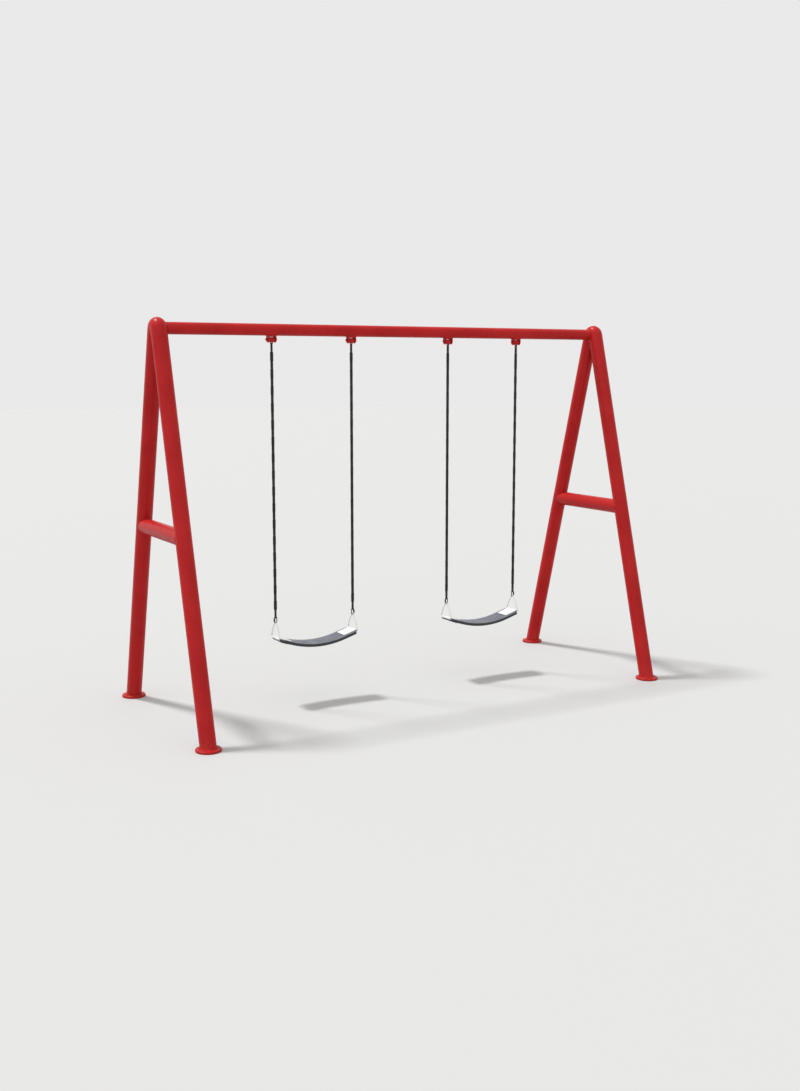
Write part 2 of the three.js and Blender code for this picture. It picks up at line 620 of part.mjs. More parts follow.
/** Everything that hangs at one chain: bracket, bolt, nut, hub, bush, chain and quick link. */
function hanger(label, shapes) {
  const group = new THREE.Group();
  const pivot = new THREE.Group();
  pivot.position.z = PIVOT_Z;
  pivot.add(piece(`hanger_bracket_${label}`, shapes.bracket, paint));
  pivot.add(piece(`pivot_bolt_${label}`, shapes.bolt, paint));
  pivot.add(piece(`pivot_nut_${label}`, shapes.nut, paint));
  pivot.add(piece(`hanger_hub_${label}`, shapes.hub, paint));
  pivot.add(piece(`hub_bush_${label}`, shapes.bush, nylon));
  group.add(pivot);
  group.add(piece(`chain_${label}`, shapes.chain, blackCoat));
  group.add(piece(`quick_link_${label}`, shapes.quickLink, blackCoat));
  return group;
}

/** One swing: two hangers and the seat between them. */
function swing(label, shapes) {
  const group = new THREE.Group();
  group.position.x = SWING_CENTRES[label];
  for (const side of [-1, 1]) {
    const end = `${label}_${side < 0 ? 'a' : 'b'}`;
    const hung = hanger(end, shapes);
    hung.position.x = side * CHAIN_HALF_SPACING;
    group.add(hung);
    const triangle = piece(`seat_triangle_${end}`, shapes.triangle, zinc);
    triangle.position.x = side * CHAIN_HALF_SPACING;
    group.add(triangle);
    group.add(atSeatEnd(piece(`end_plate_${end}`, shapes.endPlate, brightPlate), side));
    group.add(atSeatEnd(piece(`rivet_bar_${end}`, shapes.rivetBar, zinc), side));
  }
  group.add(piece(`belt_seat_${label}`, shapes.belt, rubber));
  return group;
}

const frameShapes = {
  leg: legGeometry(),
  flange: flangeGeometry(),
  head: headGeometry(),
  brace: braceGeometry(),
};
const swingShapes = {
  bracket: bracketGeometry(),
  bolt: pivotBoltGeometry(),
  nut: pivotNutGeometry(),
  hub: hubGeometry(),
  bush: bushGeometry(),
  chain: chainGeometry(),
  quickLink: quickLinkGeometry(),
  triangle: triangleGeometry(),
  endPlate: endPlateGeometry(),
  rivetBar: rivetBarGeometry(),
  belt: beltGeometry(),
};

const swingSet = new THREE.Group();
swingSet.add(aFrame(-1, frameShapes), aFrame(1, frameShapes), topBeam());
swingSet.add(swing('left', swingShapes), swing('right', swingShapes));

export default swingSet;
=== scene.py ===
"""Looks of a two-seat playground swing set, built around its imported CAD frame. Units are metres."""

from contextlib import contextmanager
from math import asin, atan2, cos, degrees, hypot, pi, radians, sin, sqrt

import bmesh
import bpy
import numpy as np
from mathutils import Matrix, Vector
from mathutils.bvhtree import BVHTree


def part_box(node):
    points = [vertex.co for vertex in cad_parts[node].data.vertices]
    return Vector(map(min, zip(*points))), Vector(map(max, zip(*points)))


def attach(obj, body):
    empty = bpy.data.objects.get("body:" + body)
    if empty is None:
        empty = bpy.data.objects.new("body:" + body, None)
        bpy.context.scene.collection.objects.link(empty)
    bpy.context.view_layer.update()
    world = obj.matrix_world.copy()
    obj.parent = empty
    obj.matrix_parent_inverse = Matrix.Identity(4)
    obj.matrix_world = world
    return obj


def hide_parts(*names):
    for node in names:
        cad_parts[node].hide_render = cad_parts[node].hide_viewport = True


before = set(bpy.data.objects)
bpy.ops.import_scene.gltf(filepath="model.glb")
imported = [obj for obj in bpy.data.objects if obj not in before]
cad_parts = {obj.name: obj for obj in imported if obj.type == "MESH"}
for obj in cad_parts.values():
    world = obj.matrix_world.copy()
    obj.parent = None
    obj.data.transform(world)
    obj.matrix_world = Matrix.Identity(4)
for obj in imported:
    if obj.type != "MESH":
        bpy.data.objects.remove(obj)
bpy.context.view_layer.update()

MM = 0.001

# ---- places read from the frame


def middle(node):
    """Centre of a CAD node's box."""
    low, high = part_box(node)
    return (low + high) / 2


def extent(node):
    """Size of a CAD node's box."""
    low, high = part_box(node)
    return high - low


SIDES = {"left": -1, "right": 1}
DEPTHS = {"front": -1, "rear": 1}
ENDS = {"a": -1, "b": 1}

FRAME_X = middle("apex_head_right").x
FOOT_Y = middle("foot_flange_left_rear").y
LEG_RADIUS = extent("leg_left_front").x / 2
BRACE_Z = middle("brace_left").z
FLANGE_RADIUS = extent("foot_flange_left_front").x / 2
FLANGE_HEIGHT = extent("foot_flange_left_front").z
HEAD_TOP_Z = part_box("apex_head_left")[1].z
BEAM_Z = middle("top_beam").z
BEAM_RADIUS = extent("top_beam").z / 2
PIVOT_Z = middle("pivot_bolt_left_a").z
SWING_X = {side: middle(f"belt_seat_{side}").x for side in SIDES}
CHAIN_SPREAD = middle("chain_right_b").x - SWING_X["right"]
CHAIN_TOP_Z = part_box("chain_left_a")[1].z

# ---- dimensions of the pieces

GAP = 0.3 * MM  # play left between pieces that only touch
SAME_POINT = 0.001 * MM  # points closer than this are one point
CREASE = 35  # degrees from which an edge between two faces looks sharp
TUBE_SIDES = 72
X_AXIS, Y_AXIS, Z_AXIS = np.eye(3)

LEG_APEX_Z = 2.580  # where the two leg axes would cross
LEG_RADII = (LEG_RADIUS, LEG_RADIUS - 4 * MM)
LEG_ANGLE = atan2(FOOT_Y, LEG_APEX_Z)
HEAD_STUB_LENGTH = 259 * MM  # leg axis crossing to the head's lower ends
HEAD_BEND_RADIUS = 28.6 * MM
HEAD_CENTRE_Z = LEG_APEX_Z - HEAD_BEND_RADIUS / sin(LEG_ANGLE)
HEAD_CREASE = 16 * MM  # how softly the two stubs run into each other
HEAD_CREASE_START = 18 * MM  # height above the bend's centre where that crease begins
HEAD_CREASE_FADE = 30 * MM  # height over which it comes in
HEAD_STEP = 3 * MM

FLANGE_ROUNDING = 7 * MM
FLANGE_FOOT_ROUNDING = 1.2 * MM
FLANGE_CROWN = 0.5 * MM  # rise of its top from the rim to the middle
BEAM_RADII = (BEAM_RADIUS, BEAM_RADIUS - 3.2 * MM)
SPIGOT_RADII = (BEAM_RADII[1] - GAP, BEAM_RADII[1] - GAP - 3.5 * MM)
SPIGOT_REACH = 170 * MM
BEAM_SCREW_INSET = FRAME_X - abs(middle("beam_screw_left").x)
BEAM_SCREW_SEAT = BEAM_RADIUS + GAP
BEAM_SCREW_RADIUS = 6 * MM
BEAM_SCREW_LENGTH = 12 * MM
BEAM_SCREW_HEAD = (10.5 * MM, 6 * MM)
BEAM_SCREW_SOCKET = 4.2 * MM
WELD_RADIUS = 3.6 * MM
FOOT_WELD_RADIUS = 1.3 * WELD_RADIUS
WELD_RIPPLE = 5 * MM  # length of one ripple along a weld
WELD_RIPPLE_SHARE = 0.09  # a ripple's height as a share of the weld's radius

CAST_ROUNDING = 1.2 * MM
CAST_FILLET = 5 * MM
CAST_ROOM = 2 * MM  # empty space round brackets and hubs in the grids they are found on
EAR_OFFSET = 25 * MM  # hanger's middle to the middle of an ear
EAR_THICKNESS = 6 * MM
EAR_RADIUS = 20.5 * MM
WEB_HEIGHT = 16 * MM  # pivot up to the web's underside
BRACKET_WELD = 0.85 * WELD_RADIUS
BRACKET_WELD_FILLET = 1.5 * MM
BRACKET_BITE = 1 * MM  # how far the bracket sinks into the beam under its weld
BRACKET_TOP_Z = BEAM_Z - PIVOT_Z - 24 * MM  # clear of the bracket's top
BRACKET_STEP = 1 * MM
HUB_RADIUS = 14 * MM
HUB_HALF_LENGTH = 20 * MM
HUB_ROUNDING = 1.5 * MM
HUB_BORE = 9.2 * MM
HUB_BORE_ROUNDING = 0.8 * MM
TONGUE_THICKNESS = 5 * MM
TONGUE_ROOT_RADIUS = 16 * MM
TONGUE_ROOT_DROP = 5 * MM
EYE_DROP = 23.5 * MM
EYE_RADIUS = 5.5 * MM
EYE_RIM_RADIUS = 9.5 * MM
EYE_ROUNDING = 2 * MM
HUB_STEP = 0.8 * MM
BOLT_RADIUS = 6 * MM
BOLT_HEAD_CORNER = 10.4 * MM
BOLT_HEAD_HEIGHT = 7.5 * MM
NUT_HEIGHT = 10 * MM
NUT_COLLAR_HEIGHT = 2.6 * MM
NUT_COLLAR_RADIUS = 8.2 * MM
BOLT_TAIL = 3 * MM
THREAD_PITCH = 1.75 * MM
THREAD_DEPTH = 0.5 * MM
WASHER_FACE_RADIUS = 9 * MM
BUSH_RADII = (6.2 * MM, 8.9 * MM)
BUSH_HALF_LENGTH = 21.5 * MM
EAR_FACE = EAR_OFFSET + EAR_THICKNESS / 2 + GAP

LINK_WIRE = 4.2 * MM  # radius of the links' wire with its soft coat
LINK_PITCH = 54.37 * MM
LINK_HALF_WIDTH = 7.6 * MM
LINK_COUNT = 33
LINK_HEIGHT = LINK_PITCH + 2 * LINK_WIRE
COAT_BRIDGE = 1.8 * MM  # fillet of coat where two links touch
COAT_FILM = 1.7 * MM  # half the thickness of the coat that closes each link's opening
COAT_CLEARANCE = 17 * MM  # open end of the first and last link, where the neighbours hook in
CHAIN_TURN = radians(15)  # turn about its own length that a hanging chain has away from its ends
TURNING_LINKS = 2  # links over which that turn comes in at either end
CHAIN_STEP = 1.5 * MM
CHAIN_ROOM = 3.5 * MM  # empty space round the chain in the grid that its surface is found on
QUICK_LINK_WIRE = 3 * MM
QUICK_LINK_HALF_WIDTH = 9 * MM
SLEEVE_LENGTH = 19 * MM
SLEEVE_CORNER = 6 * MM

TRIANGLE_WIRE = 4 * MM
TRIANGLE_HALF_BASE = 66 * MM
TRIANGLE_CORNER = 10 * MM
TRIANGLE_TOP = 12 * MM
TRIANGLE_BOW = 5 * MM  # how far each leg bows outwards
SEAT_BAR_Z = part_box("seat_triangle_left_a")[0].z + TRIANGLE_WIRE
SEAT_SLOPE = radians(17)
KNUCKLE_BORE = 4.6 * MM
PLATE_THICKNESS = 2.5 * MM
PLATE_LENGTH = 98 * MM
PLATE_HALF_WIDTH = 55 * MM
PLATE_CORNER = 5 * MM
BELT_THICKNESS = 21 * MM
BELT_HALF_WIDTH = 80 * MM
BELT_END_INSET = 9 * MM
BELT_FLAT_LENGTH = 104 * MM
BELT_EDGE_RADIUS = 7 * MM
BELT_CORNER_RADIUS = 14 * MM
BELT_TOP = KNUCKLE_BORE - GAP  # knuckle axis up to the belt's top face
RIVET_INSET = 62 * MM
RIVET_SPACING = 36 * MM
RIVET_RADIUS = 4 * MM
RIVET_HEAD_RADIUS = 7 * MM
RIVET_HEAD_HEIGHT = 3.2 * MM
RIVET_TAIL_RADIUS = 6 * MM
BACKING_SIZE = (18 * MM, 104 * MM, 4 * MM)

KEY_FROM, KEY_STRENGTH, KEY_SPREAD = (-0.285, 0.37, 1), 2.9, 8
FILL_FROM, FILL_STRENGTH, FILL_SPREAD = (-0.55, -0.75, 0.55), 0.8, 120
SKY_STRENGTH = 0.82
CAMERA_PLACE = (-4.2026, -7.3159, 2.2527)
CAMERA_LENS = 40.33
CAMERA_TURN = -30.01  # degrees about +Z from looking along +Y
CAMERA_BELOW_LEVEL = 8.35  # degrees
FLOOR_SIDES = 96
FLOOR_RADIUS = 60.0
FLOOR_DROP = 1 * MM  # keeps the floor clear of the flanges' undersides

# ---- mesh helpers


def new_object(name, data):
    """New object in the scene."""
    made = bpy.data.objects.new(name, data)
    bpy.context.scene.collection.objects.link(made)
    return made


@contextmanager
def editing(mesh):
    """The mesh as a bmesh to work on, written back afterwards."""
    work = bmesh.new()
    work.from_mesh(mesh)
    yield work
    work.to_mesh(mesh)
    work.free()


def make_piece(name, vertices, faces, crease=CREASE):
    """New object from points and faces, smooth but for edges over crease degrees."""
    mesh = bpy.data.meshes.new(name)
    mesh.from_pydata(vertices, [], faces)
    return tidy(new_object(name, mesh), crease)


def tidy(piece, crease=CREASE):
    """Welds doubled points, turns the faces outwards and sets which edges look sharp."""
    with editing(piece.data) as work:
        bmesh.ops.remove_doubles(work, verts=work.verts, dist=SAME_POINT)
        bmesh.ops.recalc_face_normals(work, faces=work.faces)
    piece.data.shade_smooth()
    piece.data.set_sharp_from_angle(angle=radians(crease))
    return piece


def skin(rings, loop=False):
    """Points and faces over a stack of closed rings; a loop joins the last ring to the first."""
    rings = np.asarray(rings, float)
    count, around = rings.shape[:2]
    numbers = np.arange(count * around).reshape(count, around)
    beside = np.roll(numbers, -1, axis=1)
    corners = [numbers, beside, np.roll(beside, -1, axis=0), np.roll(numbers, -1, axis=0)]
    faces = np.stack(corners, axis=-1)
    if loop:
        return rings.reshape(-1, 3), faces.reshape(-1, 4).tolist()
    caps = [numbers[0].tolist(), numbers[-1].tolist()]
    return rings.reshape(-1, 3), faces[:-1].reshape(-1, 4).tolist() + caps


def circle(radius, sides=TUBE_SIDES):
    """Angles' cosines and sines, times a radius."""
    angles = np.arange(sides) * 2 * pi / sides
    return radius * np.cos(angles), radius * np.sin(angles)


def turned(name, profile, sides=48, loop=False, crease=CREASE):
    """Solid of revolution about +Z from (radius, height) pairs."""
    rings = []
    for radius, height in profile:
        x, y = circle(radius, sides)
        rings.append(np.c_[x, y, np.full(sides, height)])
    return make_piece(name, *skin(rings, loop), crease)


def arc(centre, radius, start, end, steps):
    """Points along a flat arc, its angles in degrees."""
    angles = np.radians(np.linspace(start, end, steps + 1))
    return [(centre[0] + radius * cos(a), centre[1] + radius * sin(a)) for a in angles]


def moved(piece, matrix):
    """The piece with its mesh moved by a matrix."""
    piece.data.transform(matrix)
    return piece


def shift(x, y=0, z=0):
    """Matrix that moves by a distance along each axis."""
    return Matrix.Translation((x, y, z))


def rotation(angle, axis):
    """Matrix that turns by an angle about an axis through the origin."""
    return Matrix.Rotation(angle, 4, axis)


def copied(piece, name, matrix):
    """A moved copy with a mesh of its own."""
    return moved(new_object(name, piece.data.copy()), matrix)


def discard(piece):
    """Removes a helper object and its mesh."""
    mesh = piece.data
    bpy.data.objects.remove(piece)
    bpy.data.meshes.remove(mesh)


def applied(piece, kind, crease=CREASE, **settings):
    """The piece with a modifier applied."""
    modifier = piece.modifiers.new("modifier", kind)
    for key, value in settings.items():
        setattr(modifier, key, value)
    bpy.context.view_layer.update()
    graph = bpy.context.evaluated_depsgraph_get()
    mesh = bpy.data.meshes.new_from_object(piece.evaluated_get(graph))
    piece.modifiers.clear()
    old, piece.data = piece.data, mesh
    bpy.data.meshes.remove(old)
    return tidy(piece, crease)


def combine(piece, tool, operation, crease=CREASE):
    """Joins the tool to the piece, or cuts it out of it, as solids."""
    applied(piece, "BOOLEAN", crease, solver="EXACT", operation=operation, object=tool)
    discard(tool)
    return piece


def bevelled(piece, width, segments=3):
    """Rounds the piece's sharp edges."""
    sharp = dict(limit_method="ANGLE", angle_limit=radians(CREASE))
    return applied(piece, "BEVEL", width=width, segments=segments, **sharp)


def merged(name, parts):
    """Several objects as one piece, each keeping its own closed surface."""
    mesh = bpy.data.meshes.new(name)
    with editing(mesh) as work:
        for part in parts:
            work.from_mesh(part.data)
    for part in parts:
        discard(part)
    return tidy(new_object(name, mesh))


def wire_ring(path, radius, sides):
    """Points and faces of a round wire along a closed path, with one radius or one per point."""
    radius = np.broadcast_to(radius, len(path))
    along = np.roll(path, -1, axis=0) - np.roll(path, 1, axis=0)
    along /= np.linalg.norm(along, axis=1, keepdims=True)
    outward = path - path.mean(axis=0)
    outward -= (outward * along).sum(axis=1, keepdims=True) * along
    outward /= np.linalg.norm(outward, axis=1, keepdims=True)
    across = np.cross(along, outward)
    cosines, sines = circle(1, sides)
    rings = (
        path[:, None]
        + radius[:, None, None] * cosines[:, None] * outward[:, None]
        + radius[:, None, None] * sines[:, None] * across[:, None]
    )
    return skin(rings, loop=True)


def even_path(path, spacing):
    """The same closed path with its points spaced evenly."""
    closed = np.vstack([path, path[:1]])
    lengths = np.r_[0, np.cumsum(np.linalg.norm(np.diff(closed, axis=0), axis=1))]
    stations = np.linspace(0, lengths[-1], max(8, round(lengths[-1] / spacing)), endpoint=False)
    return np.stack([np.interp(stations, lengths, closed[:, k]) for k in range(3)], axis=1)


def weld_bead(name, path, radius=WELD_RADIUS):
    """A weld's rippled bead along a closed path."""
    points = even_path(path, WELD_RIPPLE / 4)
    ripple = 1 + WELD_RIPPLE_SHARE * np.cos(np.arange(len(points)) * pi / 2)
    return make_piece(name, *wire_ring(points, radius * ripple, 10), crease=60)


# ---- cast and welded shapes


def smooth_min(a, b, blend):
    """Union of two distance fields with a fillet where they meet."""
    share = np.clip(0.5 + 0.5 * (b - a) / blend, 0, 1)
    return b + (a - b) * share - blend * share * (1 - share)


def smooth_max(a, b, blend):
    """Intersection of two distance fields with a rounded edge."""
    return -smooth_min(-a, -b, blend)


def slab(flat, across, half, rounding):
    """Distance to a flat outline's field, given thickness and rounded edges."""
    u = flat + rounding
    v = np.abs(across) - half + rounding
    outside = np.hypot(np.maximum(u, 0), np.maximum(v, 0))
    return outside + np.minimum(np.maximum(u, v), 0) - rounding


def gradient(field, points, reach):
    """Slope of a distance field at points, by central differences."""
    steps = reach * np.eye(3)
    rises = [field(points + step) - field(points - step) for step in steps]
    return np.stack(rises, axis=-1) / (2 * reach)


AROUND = ((0, 0), (1, 0), (1, 1), (0, 1))  # steps round the four cells that share a grid edge


def surface_of(field, low, high, step, pulls=4):
    """Points and quads on a distance field's zero surface, one point for each cell it crosses.

    The points start at the mean of the cell's crossings and are then pulled onto the surface."""
    low = np.array(low)
    counts = np.ceil((high - low) / step).astype(int) + 1
    grid = np.stack(np.meshgrid(*[np.arange(n) for n in counts], indexing="ij"), axis=-1)
    values = field(low + grid * step)
    cells = counts - 1
    total = np.zeros((*cells, 3))
    hits = np.zeros(cells)
    crossings = []
    for axis in range(3):
        near, far = np.delete(values, -1, axis), np.delete(values, 0, axis)
        crossed = (near < 0) != (far < 0)
        places = np.delete(grid, -1, axis).astype(float)
        places[..., axis] += np.where(crossed, near / np.where(crossed, near - far, 1), 0)
        crossings.append(crossed)
        u, v = [k for k in range(3) if k != axis]
        for du, dv in AROUND:
            part = [slice(None)] * 3
            part[u], part[v] = slice(du, du + cells[u]), slice(dv, dv + cells[v])
            hits += crossed[tuple(part)]
            total += places[tuple(part)] * crossed[tuple(part)][..., None]
    used = hits > 0
    numbers = np.full(cells, -1)
    numbers[used] = np.arange(used.sum())
    points = low + total[used] / hits[used][:, None] * step
    faces = []
    for axis in range(3):
        u, v = [k for k in range(3) if k != axis]
        for cell in np.argwhere(crossings[axis]):
            if min(cell[u], cell[v]) < 1 or cell[u] >= cells[u] or cell[v] >= cells[v]:
                continue
            face = []
            for du, dv in AROUND:
                corner = cell.copy()
                corner[u] -= 1 - du
                corner[v] -= 1 - dv
                face.append(int(numbers[tuple(corner)]))
            faces.append(face)
    for _ in range(pulls):
        slope = gradient(field, points, step / 20)
        pull = field(points) / np.maximum((slope ** 2).sum(axis=1), 0.2)
        points -= np.clip(pull, -step / 2, step / 2)[:, None] * slope
    return points, faces


def half_path_distance(y, z):
    """Distance, in the A-frame's plane, to the centreline of the front leg and half the bend."""
    sine, cosine = sin(LEG_ANGLE), cos(LEG_ANGLE)
    z = z - HEAD_CENTRE_Z
    start_y, start_z = -HEAD_BEND_RADIUS * cosine, HEAD_BEND_RADIUS * sine
    down = np.maximum(-(y - start_y) * sine - (z - start_z) * cosine, 0)
    leg = np.hypot(y - start_y + down * sine, z - start_z + down * cosine)
    in_bend = (y <= 0) & (cosine * z + sine * y > 0)
    top = np.hypot(y, z - HEAD_BEND_RADIUS)
    bend = np.where(in_bend, np.abs(np.hypot(y, z) - HEAD_BEND_RADIUS), top)
    return np.minimum(leg, bend)


def head_field(points):
    """The head: two leg stubs and a tight bend, run into each other below the bend."""
    x, y, z = np.moveaxis(points, -1, 0)
    front = np.hypot(x, half_path_distance(y, z))
    rear = np.hypot(x, half_path_distance(-y, z))
    below = np.clip((HEAD_CENTRE_Z + HEAD_CREASE_START - z) / HEAD_CREASE_FADE, 0, 1)
    return smooth_min(front, rear, 0.1 * MM + HEAD_CREASE * below) - LEG_RADIUS


def make_head(name):
    """The domed head, cut square across the two leg axes."""
    end_z = LEG_APEX_Z - HEAD_STUB_LENGTH * cos(LEG_ANGLE)
    end_y = HEAD_STUB_LENGTH * sin(LEG_ANGLE)
    width = LEG_RADIUS + 5 * MM
    depth = end_y + LEG_RADIUS + 12 * MM
    low = (-width, -depth, end_z - 34 * MM)  # below both slanting cuts
    high = (width, depth, HEAD_TOP_Z + 6 * MM)
    head = make_piece(name, *surface_of(head_field, low, high, HEAD_STEP))
    with editing(head.data) as work:
        for side in DEPTHS.values():
            bmesh.ops.bisect_plane(
                work,
                geom=[*work.verts, *work.edges, *work.faces],
                plane_co=(0, side * end_y, end_z),
                plane_no=(0, side * sin(LEG_ANGLE), -cos(LEG_ANGLE)),
                clear_outer=True,
            )
        bmesh.ops.holes_fill(work, edges=[e for e in work.edges if e.is_boundary])
    return tidy(head, crease=50)


def beam_distance(points):
    """Distance to the beam's surface, in a hanger's own frame."""
    return np.hypot(points[..., 1], points[..., 2] - (BEAM_Z - PIVOT_Z)) - BEAM_RADIUS


def bracket_field(points):
    """Forked bracket under the beam, with its weld."""
    x, y, z = np.moveaxis(points, -1, 0)
    outline = np.hypot(y, z - np.clip(z, 0, None)) - EAR_RADIUS
    ears = slab(outline, np.abs(x) - EAR_OFFSET, EAR_THICKNESS / 2, CAST_ROUNDING)
    flat = np.maximum(np.abs(x) - EAR_OFFSET, WEB_HEIGHT - z)
    web = slab(flat, y, EAR_RADIUS, CAST_ROUNDING)
    body = smooth_min(ears, web, CAST_FILLET)
    beam = beam_distance(points)
    shape = np.maximum(body, -beam - BRACKET_BITE)
    shape = np.maximum(shape, BOLT_RADIUS + GAP - np.hypot(y, z))
    weld = np.hypot(body, beam) - BRACKET_WELD
    return smooth_min(shape, weld, BRACKET_WELD_FILLET)


def hub_field(points):
    """Hub: a barrel on the bolt with a tapered tongue that ends in the chain's eye."""
    x, y, z = np.moveaxis(points, -1, 0)
    barrel = slab(np.hypot(y, z) - HUB_RADIUS, x, HUB_HALF_LENGTH, HUB_ROUNDING)
    drop = EYE_DROP - TONGUE_ROOT_DROP
    lean = (TONGUE_ROOT_RADIUS - EYE_RIM_RADIUS) / drop
    upright = sqrt(1 - lean ** 2)
    across, down = np.abs(x), -z - TONGUE_ROOT_DROP
    along = upright * down - lean * across
    root = np.hypot(across, down) - TONGUE_ROOT_RADIUS
    rim = np.hypot(across, down - drop) - EYE_RIM_RADIUS
    side = upright * across + lean * down - TONGUE_ROOT_RADIUS
    outline = np.where(along < 0, root, np.where(along > upright * drop, rim, side))
    tongue = slab(outline, y, TONGUE_THICKNESS / 2, CAST_ROUNDING)
    body = smooth_min(barrel, tongue, CAST_FILLET)
    body = smooth_max(body, HUB_BORE - np.hypot(y, z), HUB_BORE_ROUNDING)
    return smooth_max(body, EYE_RADIUS - np.hypot(x, z + EYE_DROP), EYE_ROUNDING)


# ---- materials


def colour(red, green, blue):
    """Screen colour, 0 to 255, as the linear colour that a shader takes."""
    values = [c / 255 for c in (red, green, blue)]
    linear = [c / 12.92 if c <= 0.04045 else ((c + 0.055) / 1.055) ** 2.4 for c in values]
    return (*linear, 1)


class Surface:
    """A procedural material on one Principled shader, its textures fixed to the piece."""

    def __init__(self, name, slot, **sockets):
        self.slot = slot
        self.material = bpy.data.materials.new(name)
        self.material.use_nodes = True
        self.tree = self.material.node_tree
        self.shader = self.tree.nodes["Principled BSDF"]
        self.feed(self.shader, sockets)
        self.place = self.add("TexCoord", "Object")

    def feed(self, node, sockets):
        """Sets a node's inputs to plain values, or links them to other nodes' outputs."""
        for key, value in sockets.items():
            socket = node.inputs[key if isinstance(key, int) else key.replace("_", " ")]
            if isinstance(value, bpy.types.NodeSocket):
                self.tree.links.new(value, socket)
            else:
                socket.default_value = value

    def add(self, kind, output, settings=None, **sockets):
        """New shader node with its settings and inputs. Returns the output asked for."""
        node = self.tree.nodes.new("ShaderNode" + kind)
        for key, value in (settings or {}).items():
            setattr(node, key, value)
        self.feed(node, sockets)
        return node.outputs[output]

    def noise(self, scale, detail=3, stretch=None):
        """Noise with features about 1 / scale metres long, finer along each axis by a stretch."""
        place = self.add("Mapping", "Vector", Scale=stretch, Vector=self.place) if stretch else self.place
        return self.add("TexNoise", "Fac", Scale=scale, Detail=detail, Vector=place)

    def cells(self, scale, feature="F1"):
        """Cell pattern with cells about 1 / scale metres across."""
        return self.add("TexVoronoi", "Distance", {"feature": feature}, Scale=scale, Vector=self.place)

    def height(self):
        """Height above the piece's origin."""
        return self.add("SeparateXYZ", "Z", Vector=self.place)

    def facing_up(self):
        """How far the surface faces up, from -1 to 1, in the piece's own frame."""
        return self.add("SeparateXYZ", "Z", Vector=self.add("TexCoord", "Normal"))

    def remap(self, value, start, end, to_start, to_end):
        """Value run from one range to another, held at its ends."""
        ranges = {"From Min": start, "From Max": end, "To Min": to_start, "To Max": to_end}
        return self.add("MapRange", "Result", **ranges, Value=value)

    def times(self, first, second):
        """Product of two values."""
        product = self.add("Math", "Value", {"operation": "MULTIPLY"})
        self.feed(product.node, {0: first, 1: second})
        return product

    def ramp(self, factor, *stops):
        """Colours at places along a factor."""
        colours = self.add("ValToRGB", "Color", Fac=factor)
        elements = colours.node.color_ramp.elements
        while len(elements) < len(stops):
            elements.new(0.5)
        for element, (place, shade) in zip(elements, stops):
            element.position = place
            element.color = shade
        return colours

    def mixed(self, factor, first, second):
        """First colour to second colour by a factor; second may be a plain colour."""
        return self.add("Mix", "Result", {"data_type": "RGBA"}, Factor=factor, A=first, B=second)

    def set_colour_and_roughness(self, shade, roughness):
        """Sets the shader's colour and roughness."""
        self.feed(self.shader, {"Base Color": shade, "Roughness": roughness})

    def bumps(self, *layers):
        """Bump layers of (height, depth in metres), the first the coarsest."""
        below = {}
        for height, depth in layers:
            below = {"Normal": self.add("Bump", "Normal", Distance=depth, Height=height, **below)}
        self.feed(self.shader, below)

    def dress(self, piece):
        """Gives the material to a piece."""
        piece.data.materials.clear()
        piece.data.materials.append(self.material)


def gloss_paint(slot, deep, bright, roughness):
    """Thick gloss coat over steel: slight orange peel, uneven depth, dust low down."""
    paint = Surface(slot, slot, Specular_IOR_Level=0.12, Coat_Weight=0.04, Coat_Roughness=0.15)
    shade = paint.ramp(paint.noise(5, 4), (0.32, deep), (0.68, bright))
    dust = paint.times(
        paint.remap(paint.height(), 0.01, 0.12, 0.08, 0),
        paint.remap(paint.noise(60, 5), 0.4, 0.7, 0, 1),
    )
    shade = paint.mixed(dust, shade, colour(150, 118, 84))
    paint.set_colour_and_roughness(shade, paint.remap(paint.noise(22, 4), 0.3, 0.7, *roughness))
    paint.bumps((paint.noise(9, 2), 0.4 * MM), (paint.noise(320, 2), 0.06 * MM))
    return paint


def galvanised(slot, dark, light, roughness, grain):
    """Zinc-plated steel: mottled crystals and fine draw marks."""
    zinc = Surface(slot, slot, Metallic=0.85)
    shade = zinc.ramp(zinc.cells(grain), (0.05, dark), (0.6, light))
    zinc.set_colour_and_roughness(shade, zinc.remap(zinc.noise(grain * 0.7, 4), 0.3, 0.7, *roughness))
    zinc.bumps((zinc.noise(grain * 1.5, 3), 0.05 * MM))
    return zinc


def bright_plate():
    """Nearly white plated steel with fine brushing along the seat."""
    plate = Surface("bright_plate", "plate_bright", Metallic=0.15)
    brushing = plate.noise(60, 4, stretch=(1, 30, 8))
    shade = plate.ramp(brushing, (0.3, colour(196, 196, 195)), (0.7, colour(224, 224, 224)))
    plate.set_colour_and_roughness(shade, plate.remap(brushing, 0.3, 0.7, 0.28, 0.42))
    plate.bumps((brushing, 0.02 * MM), (plate.noise(40, 2), 0.15 * MM))
    return plate


def black_chain():
    """Black coated links, thinner and greyer where they rub."""
    coat = Surface("black_chain", "chain_black", Specular_IOR_Level=0.3)
    shade = coat.ramp(coat.noise(140, 4), (0.35, colour(18, 18, 20)), (0.75, colour(38, 38, 41)))
    coat.set_colour_and_roughness(shade, coat.remap(coat.noise(90, 3), 0.3, 0.7, 0.38, 0.6))
    coat.bumps((coat.noise(700, 3), 0.05 * MM))
    return coat


